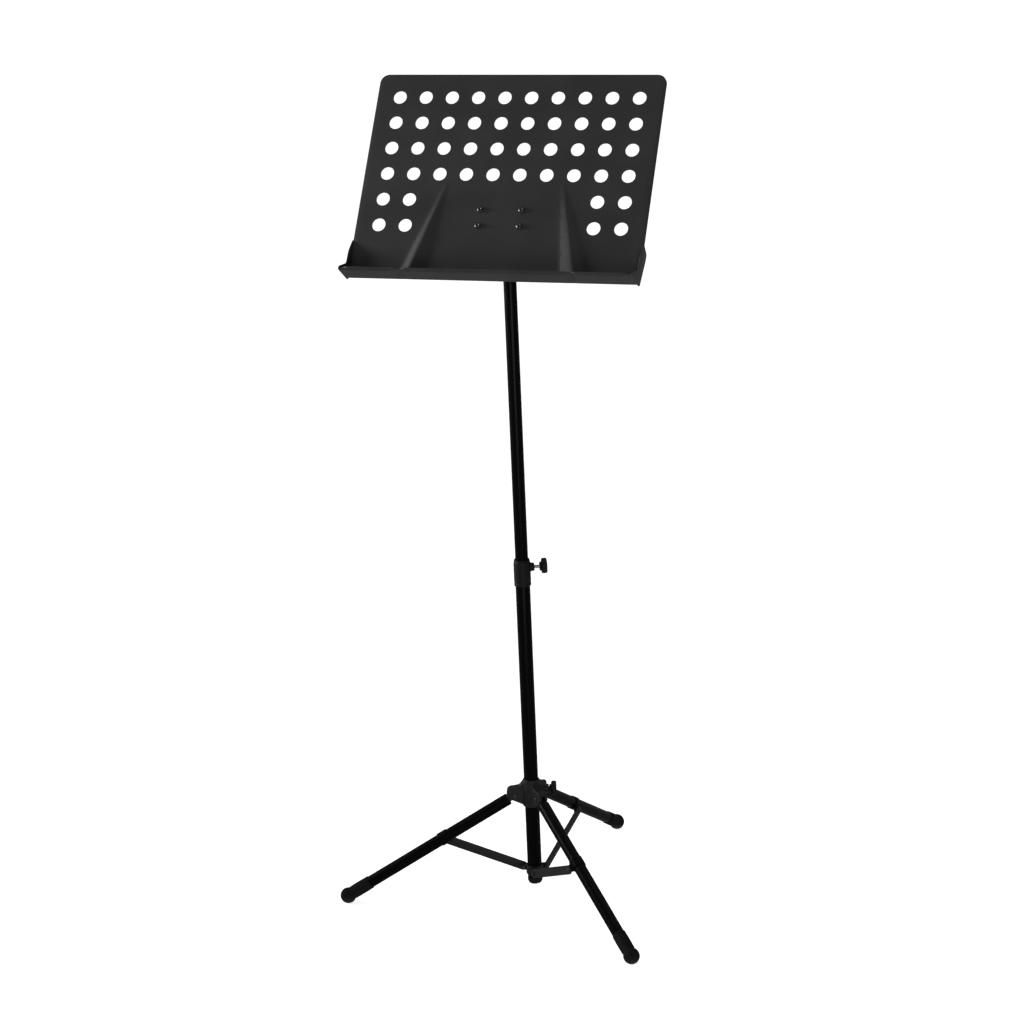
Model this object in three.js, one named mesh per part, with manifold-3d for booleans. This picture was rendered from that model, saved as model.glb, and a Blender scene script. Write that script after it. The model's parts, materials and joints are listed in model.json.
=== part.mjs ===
// A folding orchestra music stand: a perforated steel desk on a telescopic pole over a tripod.
// Millimetres, +Z up. The desk faces -Y. The pole's axis is the local origin of every sub-assembly,
// and the whole stand is shifted at the end, so that the origin is under the middle of its box.
import * as THREE from 'three';
import Module from 'manifold-3d';
import { ConvexGeometry } from 'three/addons/geometries/ConvexGeometry.js';
import { mergeVertices } from 'three/addons/utils/BufferGeometryUtils.js';

const GAP = 0.3; // running clearance between neighbouring pieces

// Tripod
const LEG_AZIMUTHS = { a: 198, b: 316.7, c: 80.7 }; // degrees round the pole
const LEG_DROP = 30.6; // degrees below level, legs spread
const HUB_HEIGHT = 192; // the leg pivots above the floor
const LEG_PIVOT_RADIUS = 29;
const LEG_LENGTH = 351; // pivot to the middle of the foot's ball
const LEG_RADIUS = 10.5;
const LEG_WALL = 1.2;
const LEG_TUBE_START = 14;
const LEG_TUBE_END = 338;
const LUG_WIDTH = 16;
const LUG_RADIUS = 9;
const EYE_RADIUS = 7;
const EYE_THICKNESS = 6;
const FOOT_BALL = 14;
const FOOT_NECK = 11.8;
const FOOT_START = 304;

// Struts, which tie the legs to the foot of the pole
const STRUT_HUB_HEIGHT = 52;
const STRUT_PIVOT_RADIUS = 20;
const STRUT_HEIGHT = 16;
const STRUT_THICKNESS = 2.5;
const STRUT_SIDE = 12.4; // the flat bar runs beside the leg, this far from its middle plane
const CLIP_AT = 148; // strut clip's distance along the leg
const CLIP_DROP = 12; // strut pivot under the leg's axis
const CLIP_LENGTH = 18;
const LINK_LUG_THICKNESS = 6;

// Pole
const OUTER_RADIUS = 12.5;
const OUTER_BORE = 11.5;
const OUTER_LOW = 38;
const OUTER_HIGH = 598;
const INNER_RADIUS = 11;
const INNER_BORE = 10;
const INNER_LOW = 480;

// Clamp collar at the top of the outer tube
const COLLAR_LOW = 575;
const COLLAR_HIGH = 620;
const COLLAR_RADIUS = 14.5;
const CLAMP_HEIGHT = 607;
const CLAMP_AZIMUTH = 24;
const HUB_LOCK_HEIGHT = 202;
const HUB_LOCK_AZIMUTH = 18;
const SCREW_RADIUS = 3;
const PAD_RADIUS = 3.4;

// Desk, in its own frame: X along it, Y up its face, Z out towards the reader, origin on the tilt pivot
const TILT_PIVOT_HEIGHT = 1191;
const DESK_LEAN = 34; // degrees back from upright
const HOLE_PITCH = 46.4;
const HOLE_RADIUS = 11.6;
const HOLE_COLUMNS = 10;
const FULL_ROWS = 4;
const SIDE_ROWS = 2;
const SIDE_COLUMNS = 2;
const FIRST_ROW = 4.66 * HOLE_PITCH;
const DESK_WIDTH = 500;
const DESK_TOP = FIRST_ROW + 0.93 * HOLE_PITCH;
const DESK_BEND = FIRST_ROW - 7.065 * HOLE_PITCH;
const CORNER_RADIUS = 16;
const SHEET = 1.2;
const SHEET_BACK = 45;
const SHEET_FRONT = SHEET_BACK + SHEET;
const FLANGE_DEPTH = 5;
const SHELF_DEPTH = 38;
const LIP_HEIGHT = 2.8; // the shelf's front edge, turned up
const HEM_RADIUS = 1.6;
const SHELF_OVERLAP = 0.1; // how far the shelf's top laps over the sheet's lower edge
const CHEEK_OUT = 1.5;
const CHEEK_BACK = 26;
const RIDGE_TOP = [2.15 * HOLE_PITCH, FIRST_ROW - 3.3 * HOLE_PITCH];
const RIDGE_FOOT = 3.14 * HOLE_PITCH;
const RIDGE_HEIGHT = 8;
const RIDGE_REACH = [26, 16]; // the foot's spread inwards and outwards of its crest
const SHELF_BUMP = 5; // what the shelf rises at each ridge
const BUMP_REACH = 10;

// Tilt joint
const HEAD_HALF = 16;
const HEAD_RADIUS = 12;
const WASHER = 0.9;
const CHEEK_PLATE = 3;
const CHEEK_IN = HEAD_HALF + WASHER + 2 * GAP;
const CHEEK_RADIUS = 14;
const BASE_WIDTH = 96;
const BASE_HEIGHT = 52;
const BASE_THICKNESS = 3;
const BOLT_SPACING = [71.4, 28.8];
const BOLT_RADIUS = 3;
const PIVOT_BOLT_RADIUS = 4;

const TUBE_SIDES = 24;
const PIN_SIDES = 10;

const FINISH = {
  powderCoat: { color: 0x1c1d1f, roughness: 0.5, metalness: 0.3 },
  glossPaint: { color: 0x0c0c0e, roughness: 0.3, metalness: 0.3 },
  plastic: { color: 0x161617, roughness: 0.55, metalness: 0 },
  rubber: { color: 0x242424, roughness: 0.8, metalness: 0 },
  steel: { color: 0x9a9c9f, roughness: 0.35, metalness: 1 },
  darkSteel: { color: 0x3a3b3d, roughness: 0.45, metalness: 0.9 },
  nylon: { color: 0xd8d5c8, roughness: 0.6, metalness: 0 },
};

const wasm = await Module();
wasm.setup();

const radians = THREE.MathUtils.degToRad;

// ---------------------------------------------------------------- solids

function toSolid(geometry) {
  const bare = geometry.index ? geometry.toNonIndexed() : geometry.clone();
  bare.deleteAttribute('normal');
  bare.deleteAttribute('uv');
  const merged = mergeVertices(bare, 1e-4);
  const index = merged.index.array;
  const triangles = [];
  for (let i = 0; i < index.length; i += 3) {
    const [a, b, c] = index.slice(i, i + 3);
    if (a !== b && b !== c && c !== a) triangles.push(a, b, c);
  }
  return new wasm.Manifold(new wasm.Mesh({
    numProp: 3,
    vertProperties: new Float32Array(merged.attributes.position.array),
    triVerts: new Uint32Array(triangles),
  }));
}

function toGeometry(solid) {
  const mesh = solid.getMesh();
  const geometry = new THREE.BufferGeometry();
  geometry.setAttribute('position', new THREE.BufferAttribute(new Float32Array(mesh.vertProperties), 3));
  geometry.setIndex(new THREE.BufferAttribute(new Uint32Array(mesh.triVerts), 1));
  geometry.computeVertexNormals();
  return geometry;
}

// The first geometries joined together, less every cutter.
function shaped(bodies, cutters = []) {
  let solid = bodies.map(toSolid).reduce((whole, body) => whole.add(body));
  cutters.forEach((cutter) => {
    solid = solid.subtract(toSolid(cutter));
  });
  return toGeometry(solid);
}

// A profile of [radius, height] pairs turned round Z.
function turned(profile, sides = TUBE_SIDES) {
  const points = profile.map(([radius, height]) => new THREE.Vector2(radius, height));
  return new THREE.LatheGeometry(points, sides).rotateX(Math.PI / 2);
}

function rod(radius, low, high, sides = PIN_SIDES) {
  return turned([[0, low], [radius, low], [radius, high], [0, high]], sides);
}

function ring(bore, radius, low, high, sides = TUBE_SIDES) {
  return turned([[bore, low], [radius, low], [radius, high], [bore, high], [bore, low]], sides);
}

function box(low, high) {
  const size = high.map((value, axis) => value - low[axis]);
  const middle = high.map((value, axis) => (value + low[axis]) / 2);
  return new THREE.BoxGeometry(...size).translate(...middle);
}

function outline(points) {
  return new THREE.Shape(points.map(([x, y]) => new THREE.Vector2(x, y)));
}

function arc(centre, radius, from, to, steps) {
  return Array.from({ length: steps + 1 }, (_, step) => {
    const angle = radians(from + (to - from) * step / steps);
    return [centre[0] + radius * Math.cos(angle), centre[1] + radius * Math.sin(angle)];
  });
}

// An outline in X and Y, thickened along Z.
function slab(shape, low, high, curveSegments = 6) {
  const options = { depth: high - low, bevelEnabled: false, curveSegments };
  return new THREE.ExtrudeGeometry(shape, options).translate(0, 0, low);
}

// What runs along Z is laid along X, with X to Y and Y to Z.
function alongX(geometry) {
  const axes = [new THREE.Vector3(0, 1, 0), new THREE.Vector3(0, 0, 1), new THREE.Vector3(1, 0, 0)];
  return geometry.applyMatrix4(new THREE.Matrix4().makeBasis(...axes));
}

// What runs along Z is laid along Y, with X kept.
function alongY(geometry) {
  return geometry.rotateX(-Math.PI / 2);
}

// An outline in X and Z, thickened along Y.
function sideSlab(shape, low, high) {
  return slab(shape, -high, -low).rotateX(Math.PI / 2);
}

function piece(name, geometry, finish) {
  const mesh = new THREE.Mesh(geometry, new THREE.MeshStandardMaterial(FINISH[finish]));
  mesh.name = name;
  return mesh;
}

function group(children, place = {}) {
  const holder = new THREE.Group();
  holder.add(...children);
  if (place.at) holder.position.set(...place.at);
  if (place.turn) holder.rotation.set(...place.turn.map(radians));
  return holder;
}

// ---------------------------------------------------------------- screws and knobs

function lobedOutline(radius, lobes, dip) {
  const steps = lobes * 4;
  return outline(Array.from({ length: steps }, (_, step) => {
    const angle = 2 * Math.PI * step / steps;
    const reach = radius - dip * (1 - Math.cos(lobes * angle)) / 2;
    return [reach * Math.cos(angle), reach * Math.sin(angle)];
  }));
}

// A star knob on the X axis, with a neck towards its screw and a bore of its own.
function knob(radius, low, high, bore, lobes) {
  const neck = 3;
  const grip = slab(lobedOutline(radius, lobes, radius * 0.12), low + neck, high);
  const collar = rod(radius * 0.55, low, low + neck + 1, 16);
  return alongX(shaped([grip, collar], [rod(bore, low - 1, high + 1)]));
}

// A lock: a pad that bears on a tube, its screw and its knob, all along X at the given distances.
function lock(name, place, sizes) {
  const { padLow, padHigh, knobLow, knobHigh, knobRadius } = sizes;
  const tip = padHigh + GAP;
  const pad = alongX(rod(PAD_RADIUS, padLow, padHigh));
  const screw = alongX(rod(SCREW_RADIUS, tip, knobHigh - 2));
  const handle = knob(knobRadius, knobLow, knobHigh, SCREW_RADIUS + GAP, 5);
  const azimuth = [0, 0, place.azimuth];
  return group([
    piece(`${name}_pad`, pad, 'nylon'),
    piece(`${name}_screw`, screw, 'steel'),
    piece(`${name}_knob`, handle, 'plastic'),
  ], { at: [0, 0, place.height], turn: azimuth });
}

// The hole that a lock's pad and screw need in the boss round them.
function lockCutters(place, padFrom, padTo, bossEnd) {
  const bores = [
    alongX(rod(PAD_RADIUS + GAP, padFrom, padTo)),
    alongX(rod(SCREW_RADIUS + GAP, padTo - 1, bossEnd + 2)),
  ];
  return bores.map((bore) => bore.rotateZ(radians(place.azimuth)).translate(0, 0, place.height));
}

const CLAMP = { azimuth: CLAMP_AZIMUTH, height: CLAMP_HEIGHT };
const HUB_LOCK = { azimuth: HUB_LOCK_AZIMUTH, height: HUB_LOCK_HEIGHT };

// ---------------------------------------------------------------- pole

function endCap() {
  const foot = 25.5;
  const plug = OUTER_BORE - GAP;
  const rim = OUTER_LOW - GAP;
  const dome = arc([OUTER_RADIUS - 6, foot + 6], 6.5, -90, 0, 3);
  return turned([[0, foot - 0.5], ...dome, [OUTER_RADIUS + 0.5, rim], [plug, rim], [plug, 58], [0, 58]]);
}

function clampCollar() {
  const bore = OUTER_RADIUS + GAP;
  const sleeve = turned([
    [bore, COLLAR_LOW], [COLLAR_RADIUS - 0.6, COLLAR_LOW], [COLLAR_RADIUS, COLLAR_LOW + 1],
    [COLLAR_RADIUS, COLLAR_HIGH - 4], [bore + 0.6, COLLAR_HIGH], [bore, COLLAR_HIGH], [bore, COLLAR_LOW],
  ]);
  const boss = alongX(rod(7, bore + 0.6, 21, 16))
    .rotateZ(radians(CLAMP_AZIMUTH)).translate(0, 0, CLAMP_HEIGHT);
  const hollow = rod(bore, COLLAR_LOW - 1, COLLAR_HIGH + 1, TUBE_SIDES);
  return shaped([sleeve, boss], [hollow, ...lockCutters(CLAMP, 10, 15, 21)]);
}

function collarLiner() {
  const bore = INNER_RADIUS + GAP;
  const wall = OUTER_RADIUS;
  const seat = COLLAR_HIGH + GAP;
  const sleeve = turned([
    [bore, OUTER_HIGH + GAP], [wall, OUTER_HIGH + GAP], [wall, seat], [wall + 0.9, seat],
    [wall + 0.6, seat + 1.6], [bore, seat + 1.6], [bore, OUTER_HIGH + GAP],
  ]);
  return shaped([sleeve], lockCutters(CLAMP, 9, 15, 21));
}

function lugOutline() {
  const low = STRUT_HUB_HEIGHT - 6;
  const high = STRUT_HUB_HEIGHT + 6;
  const end = arc([STRUT_PIVOT_RADIUS, STRUT_HUB_HEIGHT], 5, -60, 60, 4);
  return outline([[OUTER_RADIUS + 1, low], ...end, [OUTER_RADIUS + 1, high]]);
}

function strutHub() {
  const low = STRUT_HUB_HEIGHT - 9;
  const high = STRUT_HUB_HEIGHT + 9;
  const bore = OUTER_RADIUS + GAP;
  const sleeve = ring(bore, bore + 2.2, low, high);
  const inner = STRUT_SIDE - GAP - LINK_LUG_THICKNESS;
  const lugs = [];
  const holes = [];
  Object.values(LEG_AZIMUTHS).forEach((azimuth) => {
    const turn = radians(azimuth);
    const lug = sideSlab(lugOutline(), -inner - LINK_LUG_THICKNESS, -inner);
    const hole = alongY(rod(2.8, -17, 0)).translate(STRUT_PIVOT_RADIUS, 0, STRUT_HUB_HEIGHT);
    lugs.push(lug.rotateZ(turn));
    holes.push(hole.rotateZ(turn));
  });
  return shaped([sleeve, ...lugs], [rod(bore, low - 1, high + 1, TUBE_SIDES), ...holes]);
}

// A headed pin along Y: a shank with a round head at each end.
function headedPin(shank, head, thickness, low, high) {
  return alongY(turned([
    [0, low - thickness], [head, low - thickness], [head, low], [shank, low],
    [shank, high], [head, high], [head, high + thickness], [0, high + thickness],
  ], PIN_SIDES));
}

function pole() {
  const strutPins = Object.entries(LEG_AZIMUTHS).map(([letter, azimuth]) => {
    const near = STRUT_SIDE - 2 * GAP - LINK_LUG_THICKNESS;
    const pin = headedPin(2.5, 4, 1.4, -STRUT_SIDE - STRUT_THICKNESS - GAP, -near)
      .translate(STRUT_PIVOT_RADIUS, 0, STRUT_HUB_HEIGHT);
    return group([piece(`strut_pin_${letter}`, pin, 'darkSteel')], { turn: [0, 0, azimuth] });
  });
  const clamp = lock('clamp', CLAMP, {
    padLow: INNER_RADIUS + GAP,
    padHigh: INNER_RADIUS + GAP + 1.6,
    knobLow: 31,
    knobHigh: 41,
    knobRadius: 13,
  });
  return group([
    piece('outer_tube', ring(OUTER_BORE, OUTER_RADIUS, OUTER_LOW, OUTER_HIGH), 'glossPaint'),
    piece('pole_end_cap', endCap(), 'plastic'),
    piece('strut_hub', strutHub(), 'powderCoat'),
    piece('clamp_collar', clampCollar(), 'plastic'),
    piece('collar_liner', collarLiner(), 'nylon'),
    ...strutPins,
    clamp,
  ]);
}

// ---------------------------------------------------------------- tripod

// A lug's side view: round under its pivot, with a hood over the root of the leg.
function hubLug() {
  const root = OUTER_RADIUS + 1;
  const end = arc([LEG_PIVOT_RADIUS, HUB_HEIGHT], LUG_RADIUS, -75, -20, 4);
  const hood = [[15, 0], [14, 11], [9, 15], [-7, 16]];
  const roof = hood.map(([x, z]) => [LEG_PIVOT_RADIUS + x, HUB_HEIGHT + z]);
  return outline([[root, HUB_HEIGHT - 17], ...end, ...roof, [root, HUB_HEIGHT + 26]]);
}

function legHub() {
  const bore = OUTER_RADIUS + GAP;
  const low = HUB_HEIGHT - 20;
  const high = HUB_HEIGHT + 30;
  const slot = EYE_THICKNESS / 2 + GAP;
  const sleeve = turned([
    [bore, low], [15.4, low], [16.4, low + 2], [16.4, high - 10], [14, high], [bore, high], [bore, low],
  ]);
  const boss = alongX(rod(8, bore + 1, 30.5, 16))
    .rotateZ(radians(HUB_LOCK_AZIMUTH)).translate(0, 0, HUB_LOCK_HEIGHT);
  const lugs = [];
  const cutters = [];
  Object.values(LEG_AZIMUTHS).forEach((azimuth) => {
    const turn = radians(azimuth);
    const lug = sideSlab(hubLug(), -LUG_WIDTH / 2, LUG_WIDTH / 2);
    const gap = box([LEG_PIVOT_RADIUS - EYE_RADIUS - 0.5, -slot, low - 1], [60, slot, HUB_HEIGHT + 8.5]);
    const hole = alongY(rod(3.3, -12, 12)).translate(LEG_PIVOT_RADIUS, 0, HUB_HEIGHT);
    lugs.push(lug.rotateZ(turn));
    cutters.push(gap.rotateZ(turn), hole.rotateZ(turn));
  });
  const hollow = rod(bore, low - 1, high + 1, TUBE_SIDES);
  return shaped([sleeve, boss, ...lugs], [hollow, ...cutters, ...lockCutters(HUB_LOCK, 11, 17, 31)]);
}

function hub() {
  const pins = Object.entries(LEG_AZIMUTHS).map(([letter, azimuth]) => {
    const reach = LUG_WIDTH / 2 + GAP;
    const pin = headedPin(3, 4.6, 1.5, -reach, reach).translate(LEG_PIVOT_RADIUS, 0, HUB_HEIGHT);
    return group([piece(`hub_pin_${letter}`, pin, 'darkSteel')], { turn: [0, 0, azimuth] });
  });
  const hubLock = lock('hub_lock', HUB_LOCK, {
    padLow: OUTER_RADIUS + GAP,
    padHigh: OUTER_RADIUS + GAP + 1.8,
    knobLow: 32.5,
    knobHigh: 42.5,
    knobRadius: 13,
  });
  return group([piece('leg_hub', legHub(), 'powderCoat'), ...pins, hubLock]);
}

// The leg's own frame: origin on its pivot, X down the leg, Y level, Z over its back.
function legEye() {
  const half = EYE_THICKNESS / 2;
  const plug = LEG_RADIUS - LEG_WALL - GAP;
  const disc = alongY(rod(EYE_RADIUS, -half, half, 16));
  const neck = box([0, -half, -5.5], [LEG_TUBE_START + 4, half, 5.5]);
  const stem = alongX(rod(plug, LEG_TUBE_START + 1, LEG_TUBE_START + 24, 18));
  return shaped([disc, neck, stem], [alongY(rod(3.3, -9, 9))]);
}

function legTube() {
  return alongX(ring(LEG_RADIUS - LEG_WALL, LEG_RADIUS, LEG_TUBE_START, LEG_TUBE_END, 18));
}

function legClip() {
  const band = alongX(ring(LEG_RADIUS + GAP, LEG_RADIUS + 1.5, -CLIP_LENGTH / 2, CLIP_LENGTH / 2, 18));
  const lugHigh = GAP + LINK_LUG_THICKNESS - STRUT_SIDE;
  const drop = LEG_RADIUS + 0.4;
  const end = arc([0, -CLIP_DROP], 5, 200, 340, 5);
  const root = 5 - drop;
  const shape = outline([[-7, root], ...end, [7, root]]);
  const lug = sideSlab(shape, lugHigh - LINK_LUG_THICKNESS, lugHigh);
  const bore = alongX(rod(LEG_RADIUS + GAP, -CLIP_LENGTH, CLIP_LENGTH, 18));
  return shaped([band, lug], [bore]).translate(CLIP_AT, 0, 0);
}

// A rubber club slipped over the tube's end. Its ball is cut off level, where it stands on the floor.
function foot() {
  const bore = LEG_RADIUS + GAP;
  const mouth = FOOT_START + 1.5;
  const lip = FOOT_NECK - 0.5;
  const skin = [[bore, FOOT_START], [lip, FOOT_START], [FOOT_NECK, mouth], [FOOT_NECK + 0.2, 325]];
  const ball = arc([0, LEG_LENGTH], FOOT_BALL, -35, 72, 5);
  const inside = LEG_TUBE_END + 1;
  const profile = [
    ...skin, ...ball, [0, LEG_LENGTH + FOOT_BALL], [0, inside], [bore, inside], [bore, FOOT_START],
  ];
  const club = alongX(turned(profile, 18));
  const ballHeight = HUB_HEIGHT - LEG_LENGTH * Math.sin(radians(LEG_DROP));
  const floor = box([-60, -60, -60], [60, 60, -ballHeight])
    .rotateY(radians(-LEG_DROP)).translate(LEG_LENGTH, 0, 0);
  return shaped([club], [floor]);
}

function leg(letter, azimuth) {
  const pieces = group([
    piece(`leg_eye_${letter}`, legEye(), 'powderCoat'),
    piece(`leg_tube_${letter}`, legTube(), 'glossPaint'),
    piece(`strut_clip_${letter}`, legClip(), 'powderCoat'),
    piece(`rubber_foot_${letter}`, foot(), 'rubber'),
  ], { at: [LEG_PIVOT_RADIUS, 0, HUB_HEIGHT], turn: [0, LEG_DROP, 0] });
  return group([pieces], { turn: [0, 0, azimuth] });
}

// Where the strut's outer pivot lies, as [distance from the pole, height], with the legs spread.
function strutOuterPivot() {
  const drop = radians(LEG_DROP);
  return [
    LEG_PIVOT_RADIUS + CLIP_AT * Math.cos(drop) - CLIP_DROP * Math.sin(drop),
    HUB_HEIGHT - CLIP_AT * Math.sin(drop) - CLIP_DROP * Math.cos(drop),
  ];
}

// The strut's own frame: origin on its inner pivot, X along the bar, which lies on the -Y side.
function strut(letter, azimuth) {
  const [reach, height] = strutOuterPivot();
  const run = reach - STRUT_PIVOT_RADIUS;
  const rise = height - STRUT_HUB_HEIGHT;
  const length = Math.hypot(run, rise);
  const half = STRUT_HEIGHT / 2;
  const near = arc([0, 0], half, 90, 270, 5);
  const far = arc([length, 0], half, -90, 90, 5);
  const bar = sideSlab(outline([...near, ...far]), -STRUT_SIDE - STRUT_THICKNESS, -STRUT_SIDE);
  const holes = [0, length].map((x) => alongY(rod(2.8, -20, 0)).translate(x, 0, 0));
  const outside = STRUT_SIDE + STRUT_THICKNESS + GAP;
  const rivet = alongY(turned([
    [0, STRUT_SIDE + 0.1], [2.4, STRUT_SIDE + 0.1], [2.4, outside], [4.2, outside],
    [3.4, outside + 1.6], [0, outside + 1.6],
  ], PIN_SIDES)).rotateX(Math.PI).translate(length, 0, 0);
  const pieces = group([
    piece(`strut_${letter}`, shaped([bar], holes), 'powderCoat'),
    piece(`strut_rivet_${letter}`, rivet, 'darkSteel'),
  ], {
    at: [STRUT_PIVOT_RADIUS, 0, STRUT_HUB_HEIGHT],
    turn: [0, -THREE.MathUtils.radToDeg(Math.atan2(rise, run)), 0],
  });
  return group([pieces], { turn: [0, 0, azimuth] });
}

// ---------------------------------------------------------------- telescopic tube and tilt head

const HEAD_SHOULDER = 20; // the head's shoulder under the tilt pivot
const PIVOT_BORE = PIVOT_BOLT_RADIUS + GAP;

function tiltHead() {
  const barrel = alongX(rod(HEAD_RADIUS, -HEAD_HALF, HEAD_HALF, TUBE_SIDES));
  const stem = turned([
    [0, -HEAD_SHOULDER - 42], [INNER_BORE - GAP, -HEAD_SHOULDER - 42], [INNER_BORE - GAP, -HEAD_SHOULDER],
    [INNER_RADIUS + 0.6, -HEAD_SHOULDER], [INNER_RADIUS + 0.6, -HEAD_SHOULDER + 6], [9, -7], [0, -7],
  ]);
  return shaped([barrel, stem], [alongX(rod(PIVOT_BORE, -30, 30))]);
}

function guideBush() {
  const flange = OUTER_BORE - GAP;
  const spigot = INNER_BORE - GAP;
  const seat = INNER_LOW - GAP;
  return turned([
    [0, seat - 14], [flange - 1, seat - 14], [flange, seat - 13], [flange, seat],
    [spigot, seat], [spigot, seat + 26], [0, seat + 26],
  ]);
}

function frictionWasher(side) {
  const low = HEAD_HALF + GAP;
  const washer = alongX(ring(PIVOT_BORE, HEAD_RADIUS, low, low + WASHER));
  return side < 0 ? washer.rotateZ(Math.PI) : washer;
}

function innerTube() {
  const top = TILT_PIVOT_HEIGHT - HEAD_SHOULDER - GAP;
  const head = group([
    piece('tilt_head', tiltHead(), 'powderCoat'),
    piece('friction_washer_left', frictionWasher(-1), 'nylon'),
    piece('friction_washer_right', frictionWasher(1), 'nylon'),
  ], { at: [0, 0, TILT_PIVOT_HEIGHT] });
  return group([
    piece('inner_tube', ring(INNER_BORE, INNER_RADIUS, INNER_LOW, top), 'glossPaint'),
    piece('guide_bush', guideBush(), 'nylon'),
    head,
  ]);
}

// ---------------------------------------------------------------- desk

function boltPlaces() {
  const [x, y] = BOLT_SPACING.map((spacing) => spacing / 2);
  return [[-x, y], [x, y], [-x, -y], [x, -y]];
}

// The sheet's side and top edges as one open line, from its lower left corner to its lower right one.
function sheetEdge(inset) {
  const side = DESK_WIDTH / 2 - inset;
  const top = DESK_TOP - inset;
  const corner = CORNER_RADIUS - inset;
  return [
    [-side, DESK_BEND],
    ...arc([corner - side, top - corner], corner, 180, 90, 5),
    ...arc([side - corner, top - corner], corner, 90, 0, 5),
    [side, DESK_BEND],
  ];
}

// Middles of the round holes: full rows above, and the same columns at the sides only below.
function holePlaces() {
  const places = [];
  for (let row = 0; row < FULL_ROWS + SIDE_ROWS; row += 1) {
    for (let column = 0; column < HOLE_COLUMNS; column += 1) {
      const fromSide = Math.min(column, HOLE_COLUMNS - 1 - column);
      if (row < FULL_ROWS || fromSide < SIDE_COLUMNS) {
        places.push([(column - (HOLE_COLUMNS - 1) / 2) * HOLE_PITCH, FIRST_ROW - row * HOLE_PITCH]);
      }
    }
  }
  return places;
}

function circle([x, y], radius) {
  const path = new THREE.Path();
  path.absarc(x, y, radius, 0, 2 * Math.PI, true);
  return path;
}

function perforatedSheet() {
  const shape = outline(sheetEdge(0).reverse());
  shape.holes = [
    ...holePlaces().map((place) => circle(place, HOLE_RADIUS)),
    ...boltPlaces().map((place) => circle(place, BOLT_RADIUS + GAP)),
  ];
  return slab(shape, SHEET_BACK, SHEET_FRONT);
}

function flange() {
  const shape = outline([...sheetEdge(0), ...sheetEdge(SHEET).reverse()].reverse());
  return slab(shape, SHEET_BACK - FLANGE_DEPTH, SHEET_BACK + SHEET / 2);
}

function shelf() {
  const half = DESK_WIDTH / 2;
  const front = SHEET_FRONT + SHELF_DEPTH;
  const top = DESK_BEND + SHELF_OVERLAP;
  const lipTop = DESK_BEND + LIP_HEIGHT;
  const floor = box([-half, DESK_BEND - SHEET, SHEET_BACK], [half, top, front]);
  const lip = box([-half, DESK_BEND - SHEET, front - SHEET], [half, lipTop, front]);
  const hem = alongX(rod(HEM_RADIUS, -half, half)).translate(0, lipTop, front - SHEET + HEM_RADIUS + 0.1);
  return [floor, lip, hem];
}

// An end of the shelf: a plate that grows out of the desk's edge and widens to the shelf's front.
function endCheek(side) {
  const front = SHEET_FRONT + SHELF_DEPTH;
  const lipTop = DESK_BEND + LIP_HEIGHT;
  const shape = outline([
    [DESK_BEND - SHEET, SHEET_BACK - FLANGE_DEPTH], [DESK_BEND + 50, CHEEK_BACK],
    [DESK_BEND + 60, CHEEK_BACK], [DESK_BEND + 66, SHEET_BACK - FLANGE_DEPTH], [DESK_BEND + 66, SHEET_FRONT],
    [DESK_BEND + 46, SHEET_FRONT + 9], [DESK_BEND + 22, SHEET_FRONT + 10],
    [lipTop + 1, front - 6], [lipTop - 3, front], [DESK_BEND - SHEET, front],
  ]);
  const inner = DESK_WIDTH / 2 - SHEET;
  const outer = DESK_WIDTH / 2 + CHEEK_OUT;
  const [low, high] = side < 0 ? [-outer, -inner] : [inner, outer];
  return alongX(slab(shape, low, high));
}

// A pressed ridge that starts flat on the sheet and grows towards the bend, and the bump that
// takes it on to the shelf's front edge.
function ridge(side) {
  const point = (x, y, z) => new THREE.Vector3(side * x, y, z);
  const [topX, topY] = RIDGE_TOP;
  const [inward, outward] = RIDGE_REACH;
  const sunk = SHEET / 2;
  const back = SHEET_FRONT - sunk;
  const front = SHEET_FRONT + SHELF_DEPTH - 1;
  const fade = 14;
  const upright = [
    point(topX - 4, topY, back), point(topX + 4, topY, back),
    point(RIDGE_FOOT - inward, DESK_BEND, back), point(RIDGE_FOOT + outward, DESK_BEND, back),
    point(RIDGE_FOOT, DESK_BEND + fade, SHEET_FRONT + RIDGE_HEIGHT),
  ];
  const level = [
    point(RIDGE_FOOT - BUMP_REACH, DESK_BEND - sunk, SHEET_FRONT + 4),
    point(RIDGE_FOOT + BUMP_REACH, DESK_BEND - sunk, SHEET_FRONT + 4),
    point(RIDGE_FOOT - BUMP_REACH, DESK_BEND - sunk, front),
    point(RIDGE_FOOT + BUMP_REACH, DESK_BEND - sunk, front),
    point(RIDGE_FOOT - BUMP_REACH / 3, DESK_BEND + SHELF_BUMP, front),
    point(RIDGE_FOOT + BUMP_REACH / 3, DESK_BEND + SHELF_BUMP, front),
  ];
  return [new ConvexGeometry(upright), new ConvexGeometry(level)];
}

function deskPanel() {
  return shaped([
    perforatedSheet(), flange(), ...shelf(), endCheek(-1), endCheek(1), ...ridge(-1), ...ridge(1),
  ]);
}

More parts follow.
